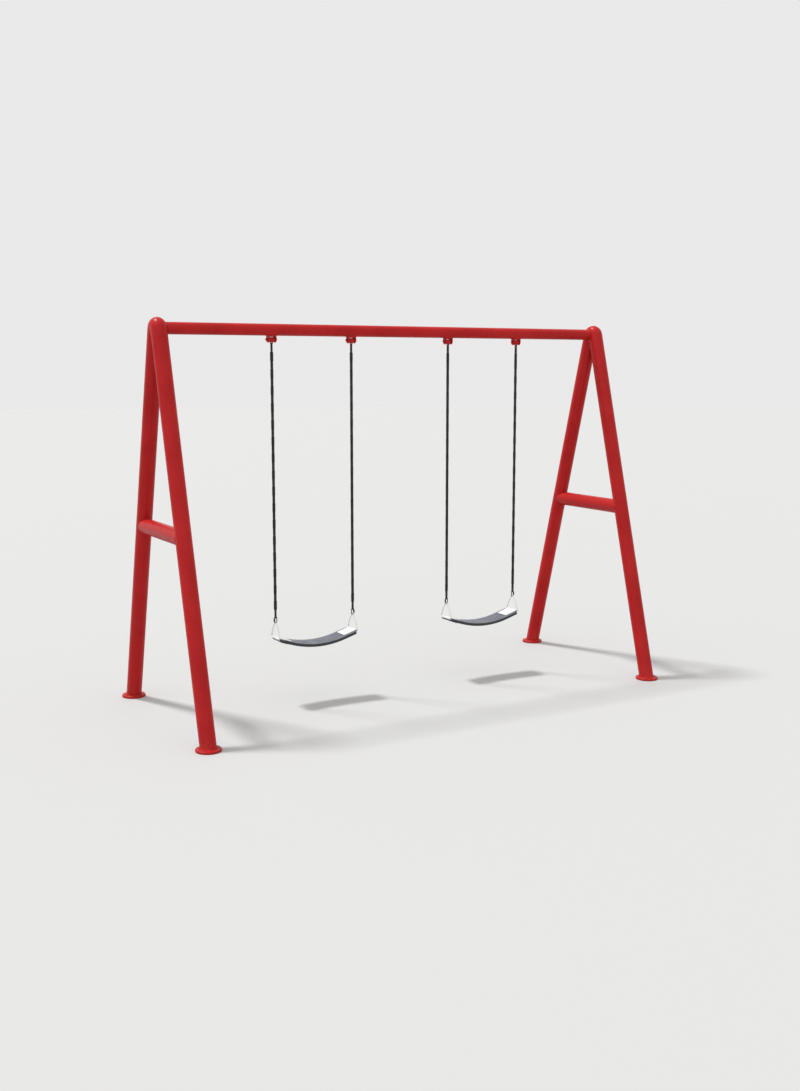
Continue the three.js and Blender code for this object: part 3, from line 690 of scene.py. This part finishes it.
def moulded_rubber():
    """Moulded black rubber with a pebbled skin; faces that face up are painted a lighter blue-grey, a
    painted sheen of the sky on the top, while the sides and edges stay black.
    """
    rubber = Surface("moulded_rubber", "belt_rubber", Metallic=0.0, Sheen_Weight=0.15)
    cloud = rubber.noise(14, 4)
    # painted light: this lighter blue-grey, laid on the faces that face up, is a painted sheen of the sky
    # on the belt's top
    painted_top_light = rubber.ramp(cloud, (0.35, colour(62, 65, 76)), (0.68, colour(84, 87, 99)))
    black = rubber.ramp(cloud, (0.3, colour(24, 25, 28)), (0.7, colour(36, 37, 41)))
    # share of the painted top light, growing as the face turns upwards
    upward = rubber.remap(rubber.facing_up(), 0.55, 0.92, 0, 1)
    shade = rubber.mixed(upward, black, painted_top_light)
    rubber.set_colour_and_roughness(shade, rubber.remap(rubber.noise(60, 3), 0.3, 0.7, 0.5, 0.68))
    rubber.bumps((rubber.cells(420, "SMOOTH_F1"), 0.25 * MM), (rubber.noise(1500, 2), 0.05 * MM))
    return rubber


def nylon():
    """Off-white turned nylon."""
    bush = Surface("bush_nylon", "bush_nylon", Subsurface_Weight=0.1)
    shade = bush.ramp(bush.noise(90, 3), (0.3, colour(214, 208, 190)), (0.7, colour(232, 227, 212)))
    bush.set_colour_and_roughness(shade, bush.remap(bush.noise(200, 3, stretch=(8, 1, 1)), 0.3, 0.7, 0.45, 0.6))
    bush.bumps((bush.noise(300, 2, stretch=(6, 1, 1)), 0.03 * MM))
    return bush


PAINT = gloss_paint("frame_paint", colour(158, 19, 20), colour(171, 27, 27), (0.3, 0.42))
FLANGE_PAINT = gloss_paint("flange_paint", colour(154, 17, 18), colour(167, 24, 25), (0.34, 0.48))
HARDWARE = galvanised("zinc_hardware", colour(150, 152, 156), colour(196, 198, 202), (0.3, 0.5), 260)
WIRE = galvanised("zinc_wire", colour(204, 204, 206), colour(222, 222, 224), (0.25, 0.4), 420)
PLATE = bright_plate()
CHAIN = black_chain()
RUBBER = moulded_rubber()
NYLON = nylon()


def fit(piece, look, body, *nodes):
    """Finishes a piece: its material, the body it rides on and the CAD nodes it stands for."""
    look.dress(piece)
    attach(piece, body)
    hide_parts(*nodes)


def put(template, node, suffix, look, body, matrix):
    """Puts a finished copy of a template in the place of a CAD node."""
    fit(copied(template, f"{node}_{suffix}", matrix), look, body, node)


# ---- A-frames


def leg_frame(side):
    """The front or rear leg's foot point, direction and two directions across it."""
    foot = np.array([0, side * FOOT_Y, 0])
    along = np.array([0, -side * sin(LEG_ANGLE), cos(LEG_ANGLE)])
    across = np.array([1.0, 0, 0])
    return foot, along, across, np.cross(along, across)


def tube(name, origin, along, across, upward, radii, ends):
    """Hollow round tube; ends(lines) gives how far along each line it starts and stops."""
    rings = []
    for radius in radii:
        cosines, sines = circle(radius)
        lines = origin + cosines[:, None] * across + sines[:, None] * upward
        start, stop = ends(lines)
        pair = [lines + start[:, None] * along, lines + stop[:, None] * along]
        rings += pair if radius == radii[0] else pair[::-1]
    return make_piece(name, *skin(rings, loop=True)), np.array(rings[0]), np.array(rings[1])


def make_leg(name, side):
    """Leg tube from the flange to the head, with its weld round the foot."""
    foot, along, across, upward = leg_frame(side)
    length = hypot(FOOT_Y, LEG_APEX_Z) - HEAD_STUB_LENGTH

    def ends(lines):
        start = (FLANGE_HEIGHT - lines[:, 2]) / along[2]
        return start, np.full(len(lines), length)

    leg, low_ring, _ = tube(name, foot, along, across, upward, LEG_RADII, ends)
    return merged(name, [leg, weld_bead("weld", low_ring, FOOT_WELD_RADIUS)])


def make_flange(name):
    """Round foot plate with a rounded upper edge, very slightly crowned."""
    shoulder = FLANGE_HEIGHT - FLANGE_ROUNDING - FLANGE_CROWN
    edge = arc((FLANGE_RADIUS - FLANGE_ROUNDING, shoulder), FLANGE_ROUNDING, 0, 90, 10)
    foot_centre = (FLANGE_RADIUS - FLANGE_FOOT_ROUNDING, FLANGE_FOOT_ROUNDING)
    foot = arc(foot_centre, FLANGE_FOOT_ROUNDING, -90, 0, 3)
    inner = 2 * MM
    radii = (60 * MM, 30 * MM, inner)
    top = [(r, FLANGE_HEIGHT - FLANGE_CROWN * (r / FLANGE_RADIUS) ** 2) for r in radii]
    return turned(name, [(inner, 0), *foot, *edge, *top], sides=96)


def make_brace(name):
    """Cross brace, saddled onto the legs, with a weld round each end."""

    def reach(lines):
        """Distance along +Y to the rear leg's round side."""
        foot, leg, _, _ = leg_frame(1)
        side_step = np.sqrt((LEG_RADIUS + GAP) ** 2 - lines[:, 0] ** 2)
        axis_y = foot[1] + leg[1] / leg[2] * lines[:, 2]
        return axis_y - side_step / leg[2]

    def ends(lines):
        stop = reach(lines)
        return -stop, stop

    brace, front, rear = tube(name, BRACE_Z * Z_AXIS, Y_AXIS, X_AXIS, Z_AXIS, LEG_RADII, ends)
    return merged(name, [brace, weld_bead("weld_front", front), weld_bead("weld_rear", rear)])


def build_frames():
    """Both A-frames. Returns the right-hand head, which the beam's ends are shaped to."""
    leg = {depth: make_leg(f"leg_{depth}", sign) for depth, sign in DEPTHS.items()}
    flange = make_flange("flange")
    brace = make_brace("brace")
    head = make_head("head")
    for side, sign in SIDES.items():
        place = shift(sign * FRAME_X)
        for depth, front in DEPTHS.items():
            put(leg[depth], f"leg_{side}_{depth}", "tube", PAINT, "frame", place)
            foot = shift(sign * FRAME_X, front * FOOT_Y)
            put(flange, f"foot_flange_{side}_{depth}", "plate", FLANGE_PAINT, "frame", foot)
        put(brace, f"brace_{side}", "tube", PAINT, "frame", place)
        put(head, f"apex_head_{side}", "shell", PAINT, "frame", place)
    for spare in (*leg.values(), flange, brace, head):
        discard(spare)
    return bpy.data.objects["apex_head_right_shell"]


# ---- beam


def build_beam(right_head):
    """Beam, the spigots inside its ends, and the screws that pin them."""
    surface = BVHTree.FromPolygons(
        [v.co for v in right_head.data.vertices],
        [p.vertices for p in right_head.data.polygons],
    )
    origin = BEAM_Z * Z_AXIS
    outward = Vector(X_AXIS)

    def reach(lines):
        """Distance along +X to the right-hand head, less a small gap."""
        hits = [surface.ray_cast(Vector(line), outward)[3] for line in lines]
        return np.array(hits) - GAP

    def beam_ends(lines):
        stop = reach(lines)
        return -stop, stop

    def spigot_ends(lines):
        stop = reach(lines)
        return np.full(len(lines), FRAME_X - SPIGOT_REACH), stop

    beam, _, _ = tube("top_beam_tube", origin, X_AXIS, Y_AXIS, Z_AXIS, BEAM_RADII, beam_ends)
    fit(beam, PAINT, "frame", "top_beam")
    spigot, _, _ = tube("spigot", origin, X_AXIS, Y_AXIS, Z_AXIS, SPIGOT_RADII, spigot_ends)
    screw = make_beam_screw("screw")
    for side, sign in SIDES.items():
        turn = rotation(0 if sign > 0 else pi, "Z")
        put(spigot, f"beam_spigot_{side}", "tube", PAINT, "frame", turn)
        place = shift(sign * (FRAME_X - BEAM_SCREW_INSET), 0, BEAM_Z)
        put(screw, f"beam_screw_{side}", "button", HARDWARE, "frame", place)
    discard(spigot)
    discard(screw)


def dome(radius, height, seat, trim, start, pole):
    """Profile of a domed head, from some degrees above its trimmed rim to near its pole."""
    ball = (radius ** 2 + height ** 2) / (2 * height)
    sweep = degrees(asin((radius - trim) / ball))
    return arc((0, seat + height - ball), ball, 90 - sweep + start, pole, 8)


def hexagon(name, corner, low, high):
    """Hexagonal prism along +Z."""
    return turned(name, [(corner, low), (corner, high)], sides=6, crease=20)


def make_beam_screw(name):
    """Button-head screw with a hexagonal socket, pointing along -Y from the rear."""
    seat, tail = BEAM_SCREW_SEAT, BEAM_SCREW_SEAT - BEAM_SCREW_LENGTH
    head_radius, head_height = BEAM_SCREW_HEAD
    profile = [
        (0.5 * MM, tail),
        (BEAM_SCREW_RADIUS - 0.6 * MM, tail),
        (BEAM_SCREW_RADIUS, tail + 0.8 * MM),
        (BEAM_SCREW_RADIUS, seat),
        (head_radius, seat),
        (head_radius, seat + 0.6 * MM),
        *dome(head_radius, head_height, seat, 0.4 * MM, 0, 89),
    ]
    screw = turned(name, profile)
    socket = hexagon("socket", BEAM_SCREW_SOCKET, seat + 2.6 * MM, seat + 12 * MM)
    combine(screw, socket, "DIFFERENCE")
    return moved(screw, rotation(-pi / 2, "X"))


# ---- hangers


def chamfered_hexagon(name, corner, low, high, both=True):
    """Hexagonal prism along +Z, its corners turned down to a cone at the top or at both ends."""
    chamfer = 0.42 * (corner - corner * cos(pi / 6)) + 0.4 * MM
    flat = corner * cos(pi / 6) - 0.2 * MM
    wide = corner + 1 * MM
    drop = chamfer + 0.5 * MM
    upper = [(wide, high - drop), (flat, high), (0.2 * MM, high)]
    lower = [(0.2 * MM, low), (flat, low), (wide, low + drop)]
    if not both:
        lower = [(0.2 * MM, low), (wide, low)]
    prism = hexagon(name, corner, low - MM, high + MM)
    return combine(prism, turned("cone", [*lower, *upper]), "INTERSECT", crease=18)


def thread(radius, start, end):
    """Profile of a threaded length, from start to end along the axis."""
    count = max(1, round(abs(end - start) / THREAD_PITCH))
    pitch = (end - start) / count
    root = radius - THREAD_DEPTH
    points = []
    for turn in range(count):
        base = start + turn * pitch
        points += [(root, base + 0.08 * pitch), (radius, base + 0.42 * pitch)]
        points += [(radius, base + 0.58 * pitch), (root, base + 0.92 * pitch)]
    return points


def make_bolt(name):
    """Hexagon-head bolt along +X, its threaded tail at -X."""
    face = EAR_FACE
    tail = -(EAR_FACE + NUT_HEIGHT + BOLT_TAIL)
    profile = [
        (0.5 * MM, tail),
        (BOLT_RADIUS - 1 * MM, tail),
        *thread(BOLT_RADIUS, tail + 0.6 * MM, -EAR_FACE),
        (BOLT_RADIUS, -EAR_FACE + 1 * MM),
        (BOLT_RADIUS, face + 2 * MM),
        (0.5 * MM, face + 2 * MM),
    ]
    bolt = turned(name, profile, sides=40)
    washer_face = turned("washer_face", [
        (0.5 * MM, face), (WASHER_FACE_RADIUS, face),
        (WASHER_FACE_RADIUS, face + MM), (0.5 * MM, face + MM),
    ])
    top = face + BOLT_HEAD_HEIGHT
    head = chamfered_hexagon("head", BOLT_HEAD_CORNER, face + 0.5 * MM, top, both=False)
    combine(bolt, washer_face, "UNION")
    combine(bolt, head, "UNION", crease=18)
    return moved(bolt, rotation(pi / 2, "Y"))


def make_nut(name):
    """Locking nut with a raised collar, against the outer ear at -X."""
    inner, outer = EAR_FACE, EAR_FACE + NUT_HEIGHT
    nut = chamfered_hexagon(name, BOLT_HEAD_CORNER, inner, outer - NUT_COLLAR_HEIGHT)
    rim = arc((6.6 * MM, outer - 1.2 * MM), 1.2 * MM, 0, 90, 4)
    collar = turned("collar", [
        (0.5 * MM, outer - NUT_COLLAR_HEIGHT - 1 * MM),
        (NUT_COLLAR_RADIUS, outer - NUT_COLLAR_HEIGHT - 1 * MM),
        (NUT_COLLAR_RADIUS, outer - NUT_COLLAR_HEIGHT),
        *rim,
        (0.5 * MM, outer),
    ])
    combine(nut, collar, "UNION", crease=18)
    bore = turned("bore", [(BOLT_RADIUS + GAP, inner - 5 * MM), (BOLT_RADIUS + GAP, outer + 5 * MM)])
    combine(nut, bore, "DIFFERENCE", crease=18)
    return moved(nut, rotation(-pi / 2, "Y"))


def make_bush(name):
    """Nylon bush with eased ends, along X."""
    inner, outer = BUSH_RADII
    ease = 0.5 * MM
    half = BUSH_HALF_LENGTH
    profile = [
        (inner, -half + ease), (inner + ease, -half), (outer - ease, -half), (outer, -half + ease),
        (outer, half - ease), (outer - ease, half), (inner + ease, half), (inner, half - ease),
    ]
    return moved(turned(name, profile, loop=True, crease=30), rotation(pi / 2, "Y"))


def make_bracket(name):
    """One hanger's fork, its pivot at the origin."""
    width = EAR_FACE + WELD_RADIUS + CAST_ROOM
    depth = EAR_RADIUS + WELD_RADIUS + CAST_ROOM
    low = (-width, -depth, -EAR_RADIUS - CAST_ROOM)
    high = (width, depth, BRACKET_TOP_Z)
    return make_piece(name, *surface_of(bracket_field, low, high, BRACKET_STEP), crease=60)


def make_hub(name):
    """One hanger's hub with its eye, its pivot at the origin."""
    width, depth = HUB_HALF_LENGTH + CAST_ROOM, HUB_RADIUS + CAST_ROOM
    low = (-width, -depth, -EYE_DROP - EYE_RIM_RADIUS - CAST_ROOM)
    high = (width, depth, depth)
    return make_piece(name, *surface_of(hub_field, low, high, HUB_STEP), crease=60)


# ---- chains and links


def link_path(half_width, height, arc_steps):
    """Flat centreline of a long link, (across, up) from its middle."""
    reach = height / 2 - half_width
    upper = arc((0, reach), half_width, 0, 180, arc_steps)
    lower = arc((0, -reach), half_width, 180, 360, arc_steps)
    straight = [(half_width, share * height) for share in (-0.12, 0, 0.12)]
    return np.array([*upper, *[(-x, -z) for x, z in straight], *lower, *straight])


def link_distance(across, through, up, top, bottom):
    """Distance to a coated link: its wire, and the film in its opening between two heights."""
    over = np.maximum(np.abs(up) - LINK_HEIGHT / 2 + LINK_HALF_WIDTH, 0)
    outline = np.hypot(across, over) - LINK_HALF_WIDTH
    wire = np.hypot(outline, through) - LINK_WIRE
    film = smooth_max(np.abs(through) - COAT_FILM, outline, MM)
    film = smooth_max(film, np.maximum(up - top, bottom - up), 2 * MM)
    return smooth_min(wire, film, COAT_BRIDGE)


def chain_field(points):
    """Coated chain, the first link in the YZ plane, its top wire's centre at height 0."""
    x, y, z = np.moveaxis(points, -1, 0)
    nearest = np.clip(np.round((-z - LINK_HEIGHT / 2) / LINK_PITCH), 0, LINK_COUNT - 1)
    shape = None
    for step in (-1, 0, 1):
        index = nearest + step
        up = z + LINK_HEIGHT / 2 + index * LINK_PITCH
        top = np.where(index == 0, LINK_HEIGHT / 2 - COAT_CLEARANCE, LINK_HEIGHT)
        bottom = np.where(index == LINK_COUNT - 1, COAT_CLEARANCE - LINK_HEIGHT / 2, -LINK_HEIGHT)
        turn = CHAIN_TURN * np.clip(np.minimum(index, LINK_COUNT - 1 - index) / TURNING_LINKS, 0, 1)
        u = x * np.cos(turn) + y * np.sin(turn)
        v = y * np.cos(turn) - x * np.sin(turn)
        crosswise = index % 2 == 1
        link = link_distance(np.where(crosswise, u, v), np.where(crosswise, v, u), up, top, bottom)
        link = np.where((index < 0) | (index >= LINK_COUNT), 1.0, link)
        shape = link if shape is None else smooth_min(shape, link, COAT_BRIDGE)
    return shape


def make_chain(name):
    """One coated chain, hung down from the origin."""
    half = LINK_HALF_WIDTH + LINK_WIRE + CHAIN_ROOM
    length = LINK_COUNT * LINK_PITCH + 2 * LINK_WIRE
    low = (-half, -half, -length - LINK_WIRE - CHAIN_ROOM)
    high = (half, half, LINK_WIRE + CHAIN_ROOM)
    return make_piece(name, *surface_of(chain_field, low, high, CHAIN_STEP), crease=80)


def make_quick_link(name):
    """Oval quick link in the XZ plane, closed by a hexagonal sleeve on its outer side."""
    height = extent("quick_link_left_a").z - 2 * QUICK_LINK_WIRE
    path = np.insert(link_path(QUICK_LINK_HALF_WIDTH, height, 12), 1, 0, axis=1)
    ring = make_piece("ring", *wire_ring(path, QUICK_LINK_WIRE, 16))
    half = SLEEVE_LENGTH / 2
    sleeve = chamfered_hexagon("sleeve", SLEEVE_CORNER, -half, half)
    moved(sleeve, shift(-QUICK_LINK_HALF_WIDTH))
    link = combine(ring, sleeve, "UNION", crease=25)
    link.name = name
    return moved(link, shift(0, 0, middle("quick_link_left_a").z))


# ---- seats


def triangle_path():
    """Centreline of the seat's wire triangle, (y, z) points, its legs bowed a little outwards."""
    top_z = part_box("seat_triangle_left_a")[1].z - TRIANGLE_WIRE - TRIANGLE_TOP
    corner_z = SEAT_BAR_Z + TRIANGLE_CORNER
    foot_y = TRIANGLE_HALF_BASE - TRIANGLE_CORNER
    spread = hypot(foot_y, top_z - corner_z)
    lean = atan2(foot_y, top_z - corner_z)
    turn = lean - asin((TRIANGLE_CORNER - TRIANGLE_TOP) / spread)
    slant = degrees(turn)
    corner = arc((foot_y, corner_z), TRIANGLE_CORNER, -90, slant, 12)
    crown = arc((0, top_z), TRIANGLE_TOP, slant, 90, 8)
    start, end = np.array(corner[-1]), np.array(crown[0])
    shares = np.linspace(0, 1, 16)[1:-1]
    outward = np.array([cos(turn), sin(turn)])
    leg = [start + s * (end - start) + TRIANGLE_BOW * sin(pi * s) ** 2 * outward for s in shares]
    half = np.array([*corner, *leg, *crown])
    other = half[::-1][1:] * [-1, 1]
    return np.vstack([half, other])


def make_triangle(name):
    """The seat's wire triangle, in the YZ plane."""
    path = np.insert(triangle_path(), 0, 0, axis=1)
    return make_piece(name, *wire_ring(path, TRIANGLE_WIRE, 20))


def extruded(name, outline, half_width):
    """Closed (x, z) outline drawn out along Y."""
    flat = np.asarray(outline, float)
    rings = [np.insert(flat, 1, y, axis=1) for y in (-half_width, half_width)]
    return make_piece(name, *skin(rings))


def make_end_plate(name):
    """End plate in its own frame: a leaf along +X, rolled into a knuckle round the Y axis."""
    outer = KNUCKLE_BORE + PLATE_THICKNESS
    outline = [
        (PLATE_LENGTH, KNUCKLE_BORE),
        (PLATE_LENGTH, outer),
        *arc((0, 0), outer, 90, 320, 32),
        *arc((0, 0), KNUCKLE_BORE, 320, 90, 32),
    ]
    plate = extruded(name, outline, PLATE_HALF_WIDTH)
    with editing(plate.data) as work:
        corners = [
            edge for edge in work.edges
            if all(v.co.x > PLATE_LENGTH - 1 * MM for v in edge.verts)
            and abs(edge.verts[0].co.y - edge.verts[1].co.y) < 1 * MM
        ]
        bmesh.ops.bevel(
            work, geom=corners, offset=PLATE_CORNER, segments=5, affect="EDGES", profile=0.5
        )
    return bevelled(plate, 0.5 * MM, 2)


def make_rivet_bar(name):
    """Backing bar under the belt and its three domed rivets, in the end plate's frame."""
    top = BELT_TOP - BELT_THICKNESS - GAP
    length, width, thickness = BACKING_SIZE
    under = top - thickness
    near, far = RIVET_INSET - length / 2, RIVET_INSET + length / 2
    outline = [(near, under), (far, under), (far, top), (near, top)]
    strip = bevelled(extruded(name, outline, width / 2), 0.8 * MM)
    seat = KNUCKLE_BORE + PLATE_THICKNESS + 0.1 * MM
    profile = [
        (0.4 * MM, under - 1 * MM),
        (RIVET_TAIL_RADIUS - 0.6 * MM, under - 1 * MM),
        (RIVET_TAIL_RADIUS, under),
        (RIVET_RADIUS, under + 0.5 * MM),
        (RIVET_RADIUS, seat),
        (RIVET_HEAD_RADIUS, seat),
        *dome(RIVET_HEAD_RADIUS, RIVET_HEAD_HEIGHT, seat, 0, 3, 88),
    ]
    for row in (-1, 0, 1):
        rivet = turned("rivet", profile, sides=32)
        moved(rivet, shift(RIVET_INSET, row * RIVET_SPACING))
        combine(strip, rivet, "UNION")
    return strip


def belt_line(stations):
    """Points and upward directions, (x, z), along the middle of the belt's thickness."""
    inboard = np.array([-cos(SEAT_SLOPE), -sin(SEAT_SLOPE)])
    upward = np.array([-sin(SEAT_SLOPE), cos(SEAT_SLOPE)])
    offset = BELT_TOP - BELT_THICKNESS / 2
    knuckle = np.array([CHAIN_SPREAD, SEAT_BAR_Z])
    bend_start = knuckle + BELT_FLAT_LENGTH * inboard + offset * upward
    radius = bend_start[0] / sin(SEAT_SLOPE)
    centre_z = bend_start[1] + radius * cos(SEAT_SLOPE)
    flat_length = BELT_FLAT_LENGTH - BELT_END_INSET
    half_length = radius * SEAT_SLOPE + flat_length
    points, normals = [], []
    for station in stations:
        distance = abs(station) * half_length
        sign = 1 if station >= 0 else -1
        angle = min(distance / radius, SEAT_SLOPE)
        point = np.array([radius * sin(angle), centre_z - radius * cos(angle)])
        point -= max(distance - radius * SEAT_SLOPE, 0) * inboard
        points.append(point * [sign, 1])
        normals.append([-sign * sin(angle), cos(angle)])
    return np.array(points), np.array(normals), half_length


def belt_section(half_width, half_height, rounding):
    """Section of the belt, (y, up) points, with rounded edges and a fine mould line at each side."""
    rounding = min(rounding, half_height * 0.98, half_width * 0.98)
    y, z = half_width - rounding, half_height - rounding
    line = 0.5 * MM  # half the mould line's height, and how far it stands out
    points = []
    for corner, centre in enumerate(((y, z), (-y, z), (-y, -z), (y, -z))):
        points += arc(centre, rounding, corner * 90, corner * 90 + 90, 8)
        side = -1 if corner < 2 else 1
        if corner in (0, 2):
            points += [(side * -y * share, (z + rounding) * -side) for share in (0.5, 0, -0.5)]
        else:
            points += [
                (side * half_width, side * line),
                (side * (half_width + line), 0),
                (side * half_width, -side * line),
            ]
    return np.array(points)


def make_belt(name):
    """Sagging rubber belt with rounded edges, corners and ends."""
    ends = 1 - np.cos(np.linspace(0, pi / 2, 9))
    _, _, half_length = belt_line([0])
    corner_share = BELT_CORNER_RADIUS / half_length
    tips = 1 - corner_share * ends[:-1]
    stations = np.r_[-tips, np.linspace(-1 + corner_share, 1 - corner_share, 61), tips[::-1]]
    points, normals, _ = belt_line(stations)
    rings = []
    for station, point, normal in zip(stations, points, normals):
        left = (1 - abs(station)) * half_length
        corner = max(BELT_CORNER_RADIUS - left, 0)
        edge = max(BELT_EDGE_RADIUS - left, 0)
        half_width = BELT_HALF_WIDTH - BELT_CORNER_RADIUS + sqrt(BELT_CORNER_RADIUS ** 2 - corner ** 2)
        half_height = BELT_THICKNESS / 2 - BELT_EDGE_RADIUS + sqrt(BELT_EDGE_RADIUS ** 2 - edge ** 2)
        section = belt_section(half_width, half_height, BELT_EDGE_RADIUS)
        across, up = section.T
        rings.append(np.c_[point[0] + up * normal[0], across, point[1] + up * normal[1]])
    return make_piece(name, *skin(rings), crease=50)


def build_swings():
    """Everything that hangs under the beam."""
    bracket, bolt, nut = make_bracket("bracket"), make_bolt("bolt"), make_nut("nut")
    hub, bush, quick_link = make_hub("hub"), make_bush("bush"), make_quick_link("quick_link")
    chain = make_chain("chain")
    triangle, plate, rivets = make_triangle("triangle"), make_end_plate("plate"), make_rivet_bar("rivets")
    belt = make_belt("belt")
    for swing in SIDES:
        for end, end_sign in ENDS.items():
            x = SWING_X[swing] + end_sign * CHAIN_SPREAD
            tag = f"{swing}_{end}"
            hubs, seat = f"{swing}_hubs", f"{swing}_seat"
            pivot = shift(x, 0, PIVOT_Z)
            put(bracket, f"hanger_bracket_{tag}", "fork", PAINT, "frame", pivot)
            put(bolt, f"pivot_bolt_{tag}", "hex", PAINT, "frame", pivot)
            put(nut, f"pivot_nut_{tag}", "hex", PAINT, "frame", pivot)
            put(hub, f"hanger_hub_{tag}", "eye", PAINT, hubs, pivot)
            put(bush, f"hub_bush_{tag}", "sleeve", NYLON, hubs, pivot)
            hung = shift(x, 0, CHAIN_TOP_Z - LINK_WIRE)
            put(chain, f"chain_{tag}", "links", CHAIN, f"{swing}_chain_{end}", hung)
            facing = rotation(0 if end_sign < 0 else pi, "Z")
            across = shift(x) @ facing
            put(quick_link, f"quick_link_{tag}", "oval", CHAIN, f"{swing}_links", across)
            put(triangle, f"seat_triangle_{tag}", "wire", WIRE, seat, across)
            tilted = shift(x, 0, SEAT_BAR_Z) @ rotation(-end_sign * SEAT_SLOPE, "Y") @ facing
            put(plate, f"end_plate_{tag}", "leaf", PLATE, seat, tilted)
            put(rivets, f"rivet_bar_{tag}", "rivets", HARDWARE, seat, tilted)
        put(belt, f"belt_seat_{swing}", "rubber", RUBBER, f"{swing}_seat", shift(SWING_X[swing]))
    for spare in (bracket, bolt, nut, hub, bush, quick_link, chain, triangle, plate, rivets, belt):
        discard(spare)


# ---- stage, light and camera


def build_floor():
    """Plain pale floor, wide enough to meet the sky far off."""
    x, y = circle(FLOOR_RADIUS, FLOOR_SIDES)
    mesh = bpy.data.meshes.new("floor")
    mesh.from_pydata([(a, b, -FLOOR_DROP) for a, b in zip(x, y)], [], [tuple(range(FLOOR_SIDES))])
    look = bpy.data.materials.new("pale_floor")
    look.use_nodes = True
    shader = look.node_tree.nodes["Principled BSDF"]
    shader.inputs["Base Color"].default_value = colour(177, 177, 176)
    shader.inputs["Roughness"].default_value = 0.85
    mesh.materials.append(look)
    new_object("floor", mesh)


def soft_sun(name, towards, strength, spread):
    """Even light that comes from a direction, its source spread over some degrees."""
    lamp = bpy.data.lights.new(name, "SUN")
    lamp.energy = strength
    lamp.angle = radians(spread)
    light = new_object(name, lamp)
    light.rotation_euler = Vector(towards).to_track_quat("Z", "Y").to_euler()


def build_light():
    """Soft key from high behind on the left, a wide fill from the front left and an even sky."""
    soft_sun("key", KEY_FROM, KEY_STRENGTH, KEY_SPREAD)
    soft_sun("fill", FILL_FROM, FILL_STRENGTH, FILL_SPREAD)
    world = bpy.data.worlds.new("sky")
    world.use_nodes = True
    background = world.node_tree.nodes["Background"]
    background.inputs["Color"].default_value = (1, 1, 1, 1)
    background.inputs["Strength"].default_value = SKY_STRENGTH
    bpy.context.scene.world = world


def build_camera():
    """Camera at the left front, a little lower than the beam, looking slightly down."""
    lens = bpy.data.cameras.new("camera")
    lens.lens = CAMERA_LENS
    lens.sensor_width = 36
    lens.clip_start = 0.05
    lens.clip_end = 200
    camera = new_object("camera", lens)
    camera.location = CAMERA_PLACE
    camera.rotation_euler = (radians(90 - CAMERA_BELOW_LEVEL), 0, radians(CAMERA_TURN))
    bpy.context.scene.camera = camera


build_camera()
build_floor()
build_light()
build_beam(build_frames())
build_swings()
bpy.context.scene.view_settings.view_transform = "Standard"
